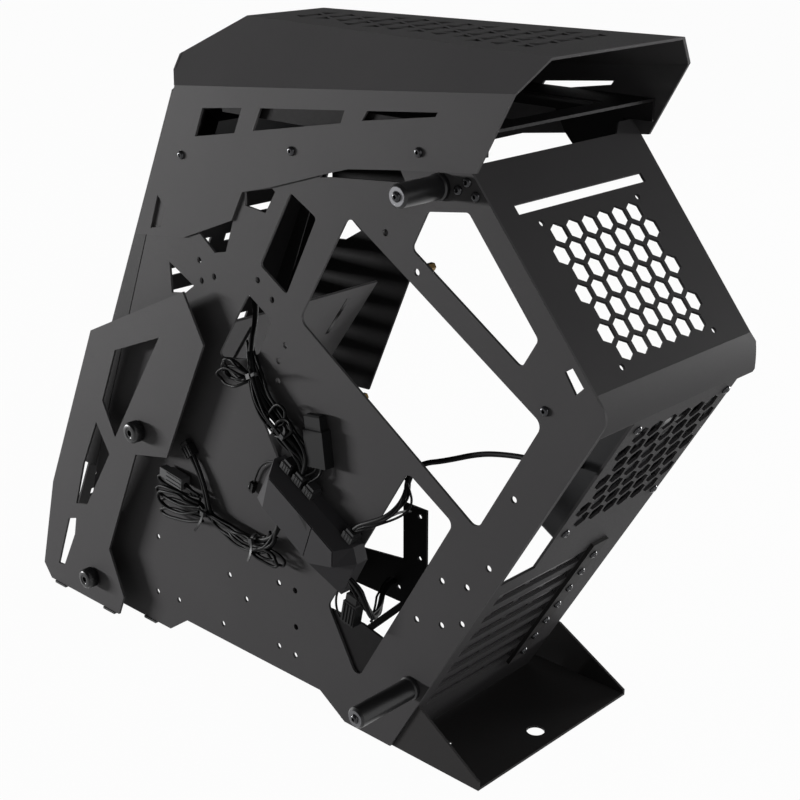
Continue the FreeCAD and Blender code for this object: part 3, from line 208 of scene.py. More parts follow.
# Slot covers: thin steel with a satin coat that the edges shine through
SLOT_STEEL = Finish("steel_sheet_satin_coated", "2d2c2d", "3a393a", 0.34, 0.9, 0.02, metallic=0.35)
# ABS, moulded with a satin texture that breaks up its highlights
PLASTIC = Finish("abs_moulded_satin", "18181a", "1f1f21", 0.48, 0.8, 0.02, Grain.MOULDED, specular=0.25)
# The controller's ABS case: spark-eroded mould, so an even matte grey
HUB_ABS = Finish("abs_moulded_spark_eroded", "2f2e30", "343335", 0.56, 0.7, 0.03, Grain.MOULDED, specular=0.12)
# Fan blades, moulded glossier than their frame
BLADE = Finish("pbt_moulded_glossy", "1c1c1f", "232326", 0.3, 2.5, 0.01, Grain.MOULDED)
# Aluminium bar, turned and black anodised: rings round the bar
ANODISED = Finish("aluminium_turned_anodised", "19191a", "202022", 0.34, 0.9, 0.02, Grain.TURNED, 0.2)
# Knurled steel, black oxide: dark with small bright spots on the knurls
KNURL = Finish("steel_knurled_black_oxide", "1f1f20", "2b2b2d", 0.28, 0.6, 0.01, Grain.TURNED, 0.4)
# Freshly faced aluminium ends: the anodising is thin there and shows grey
RING = Finish("aluminium_faced_anodised", "5c5c5f", "68686b", 0.38, 0.4, 0.01, Grain.TURNED, 0.6)
# Steel screws with black zinc plating
ZINC = Finish("steel_screw_black_zinc", "2b2b2d", "454548", 0.26, 0.5, 0.01, Grain.TURNED, 0.65)
# Brass pillars, turned, and dull with age
BRASS = Finish("brass_turned", "7d6538", "8a7040", 0.36, 0.7, 0.01, Grain.TURNED, 1.0)
# Rubber pads, moulded matte
RUBBER = Finish("rubber_moulded_matte", "1a1a1b", "222223", 0.8, 1.0, 0.04, Grain.MOULDED)
# Vinyl cable sheath: black with little gloss and faint drawing marks, drawn darker still as painted shade of the leg
# over the cables
VINYL_AND_SHADE = Finish("vinyl_sheath_and_painted_shade", "070708", "0d0d0e", 0.5, 2.0, 0.02, Grain.DRAWN, specular=0.09)
# Nylon plugs: a greyer, glossier moulding than the sheaths
NYLON = Finish("nylon_plug_moulded", "272728", "313132", 0.42, 0.8, 0.02, Grain.MOULDED, specular=0.25)
# Black connector shells
NYLON_DARK = Finish("nylon_connector_moulded", "0f0f10", "161617", 0.55, 0.8, 0.02, Grain.MOULDED, specular=0.12)
# Unfilled nylon shell, a mid grey
NYLON_GREY = Finish("nylon_shell_moulded", "4a4a4b", "565657", 0.42, 0.8, 0.02, Grain.MOULDED, specular=0.2)
# Nylon cable ties: slightly see-through black, which looks grey at its edges
TIE = Finish("nylon_tie_extruded", "29292a", "363637", 0.4, 1.0, 0.01, Grain.DRAWN, specular=0.25)

# Finish of each solid; the slot covers, which aren't listed, are SLOT_STEEL
NODE_FINISH: dict[str, Finish] = {
    "main_tray": POWDER_TRAY, "rear_panel": POWDER_REAR_PAINTED_SHADE, "roof_cover": POWDER_ROOF_PAINTED_LIGHT, "rear_stand": POWDER_STAND_PAINTED_SHADE,
    "near_front_leg": POWDER_LEG_PAINTED_LIGHT, "far_front_leg": POWDER_LEG_PAINTED_LIGHT, "far_front_plate": POWDER_DEEP_PAINTED_SHADE,
    "slot_retention_bar": POWDER_STAND_PAINTED_SHADE, "front_panel": POWDER_FRONT_PAINTED_SHADE, "top_fan_bracket": POWDER_DEEP_PAINTED_SHADE,
    "front_radiator_bracket": POWDER_BRACKET_PAINTED_LIGHT, "drive_bracket": POWDER_DEEP_PAINTED_SHADE, "leg_posts": ANODISED,
    "near_upper_standoff": ANODISED, "near_lower_standoff": ANODISED, "far_upper_standoff": ANODISED,
    "far_lower_standoff": ANODISED, "board_pillars": BRASS, "rubber_feet": RUBBER, "rear_fan_frame": PLASTIC,
    "rear_fan_rotor": BLADE, "front_io_module": PLASTIC, "power_button": PLASTIC, "reset_button": PLASTIC,
    "controller_hub": HUB_ABS, "hub_plugs": NYLON, "cable_hank": VINYL_AND_SHADE, "leg_knobs": KNURL, "slot_screws": ZINC,
    "fan_screws": ZINC, "roof_screws": ZINC, "tray_screws": ZINC, "standoff_screws": ZINC,
    "front_panel_cable": VINYL_AND_SHADE, "fan_lead": VINYL_AND_SHADE, "hub_power_cable": VINYL_AND_SHADE, "hub_front_cable": VINYL_AND_SHADE,
}


def new_object(name: str, data: bpy.types.ID, finish: Finish, body: str = "case") -> bpy.types.Object:
    """Put a new piece in the scene with its finish, riding on a body.

    Args:
        name: Name of the piece.
        data: Its mesh or curve.
        finish: Its finish.
        body: Body that it rides on.

    Returns:
        The new object.
    """
    piece = bpy.data.objects.new(name, data)
    bpy.context.scene.collection.objects.link(piece)
    data.materials.append(finish.material())
    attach(piece, body)
    log.info("made %s", name)
    return piece


@dataclass
class SheetWork:
    """Every carried-over solid: its finish, and the small broken edge that catches the light."""

    edge_mm: float = 0.35
    edge_steps: int = 2
    sharp_deg: float = 40.0
    unbroken: tuple[str, ...] = ("rear_fan_rotor", "cable_hank", "front_panel_cable", "fan_lead", "hub_power_cable",
                                 "hub_front_cable")

    def dress(self) -> None:
        """Give each node its finish and a fine bevel."""
        for name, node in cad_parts.items():
            finish = NODE_FINISH.get(name, SLOT_STEEL)
            node.data.materials.clear()
            node.data.materials.append(finish.material())
            if name not in self.unbroken:
                self.break_edges(node)
            log.info("dressed %s with %s", name, finish.name)

    def break_edges(self, node: bpy.types.Object) -> None:
        """Bevel the sharp edges of one node.

        Args:
            node: Object of the node.
        """
        bevel = node.modifiers.new("broken_edge", "BEVEL")
        bevel.width = self.edge_mm * MM
        bevel.segments = self.edge_steps
        bevel.limit_method = "ANGLE"
        bevel.angle_limit = math.radians(self.sharp_deg)
        bevel.use_clamp_overlap = True


@dataclass(frozen=True)
class Seat:
    """Place of one small turned piece: where it sits, which way it points, and how far it reaches back."""

    at: Vector
    way: Vector
    radius: float
    back: float
    front: float


def seats(node_name: str, way: Optional[Vector] = None) -> list[Seat]:
    """Find the separate solids of a node, each one turned about an axis.

    Args:
        node_name: Name of the node.
        way: Direction that its pieces point to; without it they point away from the case's middle, along Y.

    Returns:
        One seat for each solid, in metres.
    """
    work = bmesh.new()
    work.from_mesh(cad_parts[node_name].data)
    bmesh.ops.remove_doubles(work, verts=work.verts, dist=0.001 * MM)
    work.verts.index_update()
    left = set(work.verts)
    found = []
    while left:
        first = min(left, key=lambda vert: vert.index)
        group, queue = {first}, [first]
        while queue:
            for edge in queue.pop().link_edges:
                for vert in edge.verts:
                    if vert not in group:
                        group.add(vert)
                        queue.append(vert)
        left -= group
        points = [vert.co.copy() for vert in group]
        middle = sum(points, Vector()) / len(points)
        axis = way or Vector((0, 1 if middle.y > 0 else -1, 0))
        side = axis.orthogonal().normalized()
        over = axis.cross(side)
        spans = [[p.dot(d) for p in points] for d in (side, over, axis)]
        centre = side * (min(spans[0]) + max(spans[0])) / 2 + over * (min(spans[1]) + max(spans[1])) / 2
        reach = max((p - axis * p.dot(axis) - centre).length for p in points)
        found.append(Seat(centre, axis, reach, min(spans[2]), max(spans[2])))
    work.free()
    log.info("found %d seats in %s", len(found), node_name)
    return sorted(found, key=lambda seat: tuple(round(c, 4) for c in seat.at))


def turn(work: bmesh.types.BMesh, seat: Seat, rings: list[Ring], count: int, hollow: bool = False) -> None:
    """Add one closed turned piece, as rings of points along its axis joined by faces.

    Args:
        work: Mesh to add to.
        seat: Place and direction of the piece.
        rings: For each ring, a function of the angle that gives its radius and its place along the axis, in metres.
        count: Points in each ring.
        hollow: Whether the last ring joins the first, which makes a band, and not a piece with two ends.
    """
    side = seat.way.orthogonal().normalized()
    over = seat.way.cross(side)
    loops = []
    for ring in rings:
        loop = []
        for k in range(count):
            angle = 2 * math.pi * k / count
            radius, along = ring(angle)
            spot = seat.at + seat.way * along + (side * math.cos(angle) + over * math.sin(angle)) * radius
            loop.append(work.verts.new(spot))
        loops.append(loop)
    for low, high in zip(loops, loops[1:] + loops[:1] if hollow else loops[1:]):
        for k in range(count):
            work.faces.new((low[k], low[(k + 1) % count], high[(k + 1) % count], high[k]))
    if not hollow:
        work.faces.new(list(reversed(loops[0])))
        work.faces.new(loops[-1])


def plain(radius: float, along: float) -> Ring:
    """Round ring of one radius.

    Args:
        radius: Its radius.
        along: Its place along the axis.

    Returns:
        The ring.
    """
    return lambda angle: (radius, along)


def hexagon(flat: float, along: float) -> Ring:
    """Hexagon ring, for the socket of a key.

    Args:
        flat: From its middle to a flat.
        along: Its place along the axis.

    Returns:
        The ring.
    """
    step = 2 * math.pi / 6
    return lambda angle: (flat * (1 / math.cos((angle % step) - step / 2)), along)


def knurled(radius: float, teeth: int, along: float, depth: float = 0.055) -> Ring:
    """Ring with straight knurls.

    Args:
        radius: Over the knurls.
        teeth: Number of knurls.
        along: Its place along the axis.
        depth: Depth of the knurls, as a share of the radius.

    Returns:
        The ring.
    """
    return lambda angle: (radius * (1 - depth * (0.5 + 0.5 * math.cos(angle * teeth))), along)


def finish_mesh(work: bmesh.types.BMesh, name: str, smooth_below: float) -> bpy.types.Mesh:
    """Close a mesh, turn its faces outward and keep its edges crisp.

    Args:
        work: Mesh under work, freed here.
        name: Name of the new mesh.
        smooth_below: Faces that meet below this angle are shaded smooth, in degrees.

    Returns:
        The finished mesh.
    """
    bmesh.ops.recalc_face_normals(work, faces=work.faces)
    for face in work.faces:
        face.smooth = True
    for edge in work.edges:
        edge.smooth = edge.calc_face_angle(0.0) < math.radians(smooth_below)
    mesh = bpy.data.meshes.new(name)
    work.to_mesh(mesh)
    work.free()
    return mesh


@dataclass
class Fixings:
    """Button-head screws with a hexagon socket, knurled leg knobs and the standoffs' end rings.

    A screw's head is shares of its radius and its height. A knob is shares of its radius, with millimetres up from its
    foot or down from its face. An end ring is radii, with millimetres out from the standoff's end.
    """

    head_mm: float = 2.2
    socket_mm: float = 1.15
    shank_share: float = 0.44
    tip_share: float = 0.8
    tip_mm: float = 0.4
    head_profile: tuple[Pair, ...] = ((0.97, 0.0), (1.0, 0.12), (0.98, 0.34), (0.9, 0.6), (0.76, 0.83), (0.58, 0.96),
                                      (0.5, 1.0))
    socket_profile: tuple[Pair, ...] = ((1.12, 1.0), (1.0, 0.9), (1.0, 0.25))
    screw_points: int = 24
    panel_slope_deg: float = 59.4
    knurls: int = 36
    points_a_knurl: int = 4
    knob_socket_mm: float = 2.5
    knob_foot: tuple[Pair, ...] = ((0.86, 0.0), (0.9, 0.6))
    knurl_inset_mm: Pair = (1.2, 2.2)
    knob_face: tuple[Pair, ...] = ((0.92, 1.5), (0.88, 0.6), (0.78, 0.0), (0.5, 0.0), (0.46, 0.5))
    knob_socket_at_mm: Pair = (0.6, 4.0)
    end_ring: tuple[Pair, ...] = ((6.4, 0.0), (6.2, 0.35), (3.7, 0.35), (3.6, 0.0))
    end_ring_points: int = 48

    def screw_rings(self, seat: Seat) -> list[Ring]:
        """Rings of one screw, from the end of its shank to the bottom of its socket.

        Args:
            seat: Place of the screw.

        Returns:
            Rings for turn().
        """
        head, flat, height = seat.radius, self.socket_mm * MM, self.head_mm * MM
        base = seat.front - height
        shank = head * self.shank_share
        rings = [plain(shank * self.tip_share, seat.back), plain(shank, seat.back + self.tip_mm * MM),
                 plain(shank, base)]
        rings += [plain(head * wide, base + up * height) for wide, up in self.head_profile]
        return rings + [hexagon(flat * wide, base + up * height) for wide, up in self.socket_profile]

    def screws(self) -> None:
        """Replace each group of screws by turned ones."""
        slope = math.radians(self.panel_slope_deg)
        panel_way = Vector((math.sin(slope), 0, -math.cos(slope)))
        groups = {"slot_screws": panel_way, "fan_screws": panel_way, "roof_screws": None, "tray_screws": None,
                  "standoff_screws": None}
        for name, way in groups.items():
            work = bmesh.new()
            for seat in seats(name, way):
                turn(work, seat, self.screw_rings(seat), self.screw_points)
            mesh = finish_mesh(work, name + "_turned", SMOOTH_HEAD)
            piece = new_object(name + "_turned", mesh, ZINC)
            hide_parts(name)

    def knobs(self) -> None:
        """Replace the leg knobs by knurled ones."""
        work = bmesh.new()
        for seat in seats("leg_knobs"):
            radius, low, high = seat.radius, seat.back, seat.front
            rings = [plain(radius * wide, low + up * MM) for wide, up in self.knob_foot]
            rings += [knurled(radius, self.knurls, low + self.knurl_inset_mm[0] * MM),
                      knurled(radius, self.knurls, high - self.knurl_inset_mm[1] * MM)]
            rings += [plain(radius * wide, high - down * MM) for wide, down in self.knob_face]
            rings += [hexagon(self.knob_socket_mm * MM, high - down * MM) for down in self.knob_socket_at_mm]
            turn(work, seat, rings, self.points_a_knurl * self.knurls)
        mesh = finish_mesh(work, "leg_knobs_knurled", SMOOTH_KNURL)
        piece = new_object("leg_knobs_knurled", mesh, KNURL)
        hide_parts("leg_knobs")

    def end_rings(self) -> None:
        """Face each standoff's free end with a bright turned ring round its screw."""
        for name in ("near_upper_standoff", "near_lower_standoff", "far_upper_standoff", "far_lower_standoff"):
            low, high = (Vector(corner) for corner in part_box(name))
            way = Vector((0, -1 if name.startswith("near") else 1, 0))
            tip = (low.y if way.y < 0 else high.y) * way.y
            middle = Vector(((low.x + high.x) / 2, 0, (low.z + high.z) / 2))
            seat = Seat(middle, way, self.end_ring[0][0] * MM, tip, tip)
            work = bmesh.new()
            rings = [plain(radius * MM, tip + out * MM) for radius, out in self.end_ring]
            turn(work, seat, rings, self.end_ring_points, True)
            mesh = finish_mesh(work, name + "_end_ring", SMOOTH_KNURL)
            new_object(name + "_end_ring", mesh, RING)

    def build(self) -> None:
        """Make all the fixings."""
        self.screws()
        self.knobs()
        self.end_rings()


def loft(work: bmesh.types.BMesh, loops: list[list[Vector]], split: bool = False) -> None:
    """Add a closed solid through loops of equally many points.

    Args:
        work: Mesh to add to.
        loops: Outlines in order, each with the same number of points.
        split: Whether each side is split in two triangles, which gives crisp facets.
    """
    rows = [[work.verts.new(p) for p in loop] for loop in loops]
    count = len(rows[0])
    for low, high in zip(rows, rows[1:]):
        for k in range(count):
            after = (k + 1) % count
            if split:
                work.faces.new((low[k], low[after], high[k]))
                work.faces.new((low[after], high[after], high[k]))
            else:
                work.faces.new((low[k], low[after], high[after], high[k]))
    work.faces.new(list(reversed(rows[0])))
    work.faces.new(rows[-1])


def corners(wide: Pair, high: Pair) -> list[Pair]:
    """Corners of a rectangle, in turn.

    Args:
        wide: Its limits one way.
        high: Its limits the other way.

    Returns:
        Its four corners.
    """
    return [(wide[0], high[0]), (wide[1], high[0]), (wide[1], high[1]), (wide[0], high[1])]


@dataclass
class ControllerHub:
    """Fan controller on the tray: a faceted case with a seam, and its row of plugs. All sizes are in millimetres."""

    middle: Pair = (53.65, 165.0)
    turned_deg: float = -29.0
    face_y: float = -92.0
    half_length: float = 52.0
    half_width: float = 22.0
    height: float = 22.0
    corner: float = 9.0
    wall: float = 11.0
    crown: tuple[Pair, ...] = ((-37, -13), (21, -15), (41, 2), (35, 14), (-43, 15))
    crown_drop: float = 0.7
    plates: tuple[tuple[Pair, ...], ...] = (((-36.2, -12.2), (14, -14), (10, 13.6), (-42.2, 14.2)),
                                            ((14.9, -14), (20.6, -14.2), (40, 2), (34.6, 13.2), (10.9, 13.6)))
    plate_drops: Pair = (0.9, 0.05)
    notch: tuple[Pair, ...] = ((-6, 13.0), (4, 13.3), (7.5, 8.0))
    notch_drop: float = 0.06
    plug_places: tuple[float, ...] = (-39.0, -25.0, -12.0, 35.0)
    plug_half: float = 4.9
    plug_out: Pair = (2.6, 12.6)
    plug_steps: tuple[float, ...] = (6.2, 6.8, 9.0)
    neck_half: float = 3.9
    neck_out: Pair = (3.6, 11.6)
    rib_places: tuple[float, ...] = (-2.6, 0.0, 2.6)
    rib_half: float = 0.5
    rib_out: Pair = (12.4, 13.0)
    rib_ends: Pair = (0.4, 5.6)

    def spot(self, along: float, across: float, up: float) -> Vector:
        """Point in the hub's own frame, in metres.

        Args:
            along: Along the hub, in millimetres.
            across: Across it, in millimetres.
            up: Out from the tray, in millimetres.

        Returns:
            The point in the case's frame.
        """
        turned = math.radians(self.turned_deg)
        x = self.middle[0] + along * math.cos(turned) - across * math.sin(turned)
        z = self.middle[1] + along * math.sin(turned) + across * math.cos(turned)
        return Vector((x, self.face_y - up, z)) * MM

    def level(self, outline: Sequence[Pair], up: float) -> list[Vector]:
        """Outline that lies flat over the tray.

        Args:
            outline: Its points along and across the hub.
            up: Its height.

        Returns:
            Its points in the case's frame.
        """
        return [self.spot(along, across, up) for along, across in outline]

    def upright(self, outline: Sequence[Pair], out: float) -> list[Vector]:
        """Outline that stands beside the hub's long wall.

        Args:
            outline: Its points along the hub and out from the tray.
            out: How far from the wall it stands.

        Returns:
            Its points in the case's frame.
        """
        return [self.spot(along, self.half_width + out, up) for along, up in outline]

    def case(self) -> None:
        """Build the faceted case, with two cover plates that leave a seam between them, and a notch painted as a dark
        patch for its shade.
        """
        n, w, top = self.half_length, self.half_width, self.height
        foot = ((-n, -w), (n, -w), (n, w - self.corner), (n - self.corner, w), (-n, w))
        work = bmesh.new()
        loft(work, [self.level(foot, 0), self.level(foot, self.wall)])
        loft(work, [self.level(foot, self.wall), self.level(self.crown, top - self.crown_drop)], True)
        for plate in self.plates:
            loft(work, [self.level(plate, top - drop) for drop in self.plate_drops])
        mesh = finish_mesh(work, "hub_case_faceted", SMOOTH_FACET)
        piece = new_object("hub_case_faceted", mesh, HUB_ABS)
        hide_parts("controller_hub")
        # The notch is not cut into the case: a thin dark patch on its top is painted shade
        dark = bmesh.new()
        loft(dark, [self.level(self.notch, top - self.notch_drop), self.level(self.notch, top)])
        new_object("hub_notch_painted_shade", finish_mesh(dark, "hub_notch_painted_shade", SMOOTH_FACET), NYLON_DARK)

    def plugs(self) -> None:
        """Build the plugs: a stepped shell and three ribs each."""
        step, shoulder, end = self.plug_steps
        work = bmesh.new()
        for along in self.plug_places:
            shell = corners((along - self.plug_half, along + self.plug_half), self.plug_out)
            neck = corners((along - self.neck_half, along + self.neck_half), self.neck_out)
            loft(work, [self.upright(shell, 0), self.upright(shell, step), self.upright(neck, shoulder),
                        self.upright(neck, end)])
            for offset in self.rib_places:
                rib = corners((along + offset - self.rib_half, along + offset + self.rib_half), self.rib_out)
                loft(work, [self.upright(rib, out) for out in self.rib_ends])
        mesh = finish_mesh(work, "hub_plug_row", SMOOTH_PLUG)
        piece = new_object("hub_plug_row", mesh, NYLON)
        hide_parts("hub_plugs")

    def build(self) -> None:
        """Build the case and the plugs."""
        self.case()
        self.plugs()


@dataclass(frozen=True)
class PlugBlock:
    """Loose connector on a cable: a shell with ribs on its face, a stepped neck and a latch.

    Ends, runs, rows and shares are shares of half its width, length or depth. Tapers, rises and a rib's half width are
    in millimetres.
    """

    name: str
    middle: Point
    heading_deg: float
    width_mm: float
    length_mm: float
    depth_mm: float
    ribs: int = 4
    finish: Finish = NYLON_DARK
    stands_for: str = ""
    shell_end: float = 0.45
    shell_taper: float = 0.8
    neck_start: float = 0.43
    neck_share: Pair = (0.82, 0.8)
    neck_taper: float = 1.2
    rib_row: float = 0.7
    rib_half: float = 0.55
    rib_run: Pair = (-0.92, 0.3)
    rib_rise: Pair = (-0.1, 0.7)
    latch_share: Pair = (0.35, 0.7)
    latch_rise: Pair = (-0.9, 0.1)
    edge_taper: float = 0.2

    def spot(self, across: float, along: float, out: float) -> Vector:
        """Point in the connector's own frame, in metres.

        Args:
            across: Across its width, in millimetres.
            along: Along its length, in millimetres.
            out: Out from the tray, in millimetres.

        Returns:
            The point in the case's frame.
        """
        lean = math.radians(self.heading_deg)
        x, y, z = self.middle
        return Vector((x + across * math.sin(lean) + along * math.cos(lean), y - out,
                       z - across * math.cos(lean) + along * math.sin(lean))) * MM

    def box(self, work: bmesh.types.BMesh, across: Pair, along: Pair, out: Pair, taper: float) -> None:
        """Add one box along the connector, narrowed at its far end.

        Args:
            work: Mesh to add to.
            across: Its limits across the width.
            along: Its limits along the length.
            out: Its limits out from the tray.
            taper: How much narrower its far end is on each side.
        """
        ends = []
        for place, inset in ((along[0], 0.0), (along[1] - taper, 0.0), (along[1], taper)):
            outline = corners((across[0] + inset, across[1] - inset), (out[0] + inset, out[1] - inset))
            ends.append([self.spot(a, place, o) for a, o in outline])
        loft(work, ends)

    def build(self) -> bpy.types.Object:
        """Build the connector.

        Returns:
            The new piece.
        """
        w, n, d = self.width_mm / 2, self.length_mm / 2, self.depth_mm / 2
        neck_w, neck_d = w * self.neck_share[0], d * self.neck_share[1]
        latch_w, latch_n = w * self.latch_share[0], n * self.latch_share[1]
        rib_run, row = (n * self.rib_run[0], n * self.rib_run[1]), w * self.rib_row
        rib_rise, latch_rise = [(face + rise[0], face + rise[1])
                                for face, rise in ((d, self.rib_rise), (-d, self.latch_rise))]
        work = bmesh.new()
        self.box(work, (-w, w), (-n, n * self.shell_end), (-d, d), self.shell_taper)
        self.box(work, (-neck_w, neck_w), (n * self.neck_start, n), (-neck_d, neck_d), self.neck_taper)
        for k in range(self.ribs):
            at = -row + 2 * row * k / max(1, self.ribs - 1)
            self.box(work, (at - self.rib_half, at + self.rib_half), rib_run, rib_rise, self.edge_taper)
        self.box(work, (-latch_w, latch_w), (-latch_n, latch_n), latch_rise, self.edge_taper)
        return new_object(self.name, finish_mesh(work, self.name, SMOOTH_PLUG), self.finish)


@dataclass(frozen=True)
class Wire:
    """One thin wire that lies loosely along a cable, over a share of its length."""

    size_mm: float
    reach_mm: float
    phase: float
    start: float = 0.0
    end: float = 1.0
    shift_mm: float = 0.0


@dataclass(frozen=True)
class Stray:
    """One wire that leaves the bundle and lies by itself."""

    points: tuple[Point, ...]
    size_mm: float = 2.2


@dataclass(frozen=True)
class Loop:
    """One spare loop of wire, folded flat against the tray and gathered at its tie."""

    tie: Point
    heading_deg: float
    length_mm: float
    width_mm: float
    size_mm: float = 1.9
    lift_mm: float = 2.0


# How much a wire's reach and a loop's lift vary from point to point, and how much a loop's width does
LIFT_SPREAD = 0.8
WIDTH_SPREAD = 0.3

# Centre line of a spare loop: shares of its length and of its width, from its tie out, round and back
LOOP_SHAPE: tuple[Pair, ...] = (
    (-0.06, 0.15), (0.1, 0.3), (0.32, 0.5), (0.58, 0.55), (0.82, 0.48), (0.98, 0.22), (1.0, -0.12), (0.9, -0.4),
    (0.66, -0.55), (0.4, -0.48), (0.16, -0.28), (-0.02, -0.12))


def uneven(chance: random.Random, spread: float) -> float:
    """Draw a factor near one.

    Args:
        chance: Source of the factor.
        spread: From its least to its greatest value.

    Returns:
        The factor.
    """
    return 1 - spread / 2 + spread * chance.random()


def heading(line: list[Vector], i: int) -> Vector:
    """Direction of a run at one of its points.

    Args:
        line: Points along the run.
        i: Number of the point.

    Returns:
        The direction, of length one.
    """
    return (line[min(i + 2, len(line) - 1)] - line[max(i - 2, 0)]).normalized()


def away_from_tray(along: Vector) -> Vector:
    """Direction off the tray that is square to a cable.

    Args:
        along: Direction of the cable.

    Returns:
        The direction, of length one.
    """
    outward = Vector((0, -1, 0))
    return (outward - along * outward.dot(along)).normalized()


@dataclass(frozen=True)
class FlatTie:
    """Tie round a bundle: a flat band, its head, and a tail that curls up. All sizes are in millimetres."""

    name: str
    bundle: float
    slack: float = 1.6
    band_thick: float = 0.7
    band_half: float = 1.3
    band_points: int = 28
    head: tuple[Pair, Pair] = ((-2, 2), (-2.2, 2.2))
    head_ends: Pair = (-0.2, 2.6)
    tail: tuple[Pair, Pair] = ((-1.1, 1.1), (0, 0.6))
    tail_up: float = 1.2
    tail_start: float = 2.0
    tail_step: float = 3.2
    tail_curl: float = 0.35
    tail_points: int = 5

    def build(self, middle: Vector, way: Vector) -> bpy.types.Object:
        """Pull the tie round a cable.

        Args:
            middle: Point of the cable that it goes round, in metres.
            way: Direction of the cable there.

        Returns:
            The new piece.
        """
        radius, half = (self.bundle / 2 + self.slack) * MM, self.band_half * MM
        work = bmesh.new()
        band = [plain(*edge) for edge in corners((radius, radius + self.band_thick * MM), (-half, half))]
        turn(work, Seat(middle, way, radius, 0.0, 0.0), band, self.band_points, True)
        out = away_from_tray(way)
        aside = way.cross(out)
        base = middle + out * radius
        head = [base + way * a * MM + aside * b * MM for a, b in corners(*self.head)]
        loft(work, [[p + out * up * MM for p in head] for up in self.head_ends])
        low = base + out * self.tail_up * MM
        tail = [low + aside * (self.tail_start + self.tail_step * k) * MM + out * self.tail_curl * k * k * MM
                for k in range(self.tail_points)]
        loft(work, [[p + way * a * MM + out * up * MM for a, up in corners(*self.tail)] for p in tail])
        return new_object(self.name, finish_mesh(work, self.name, SMOOTH_TIE), TIE)


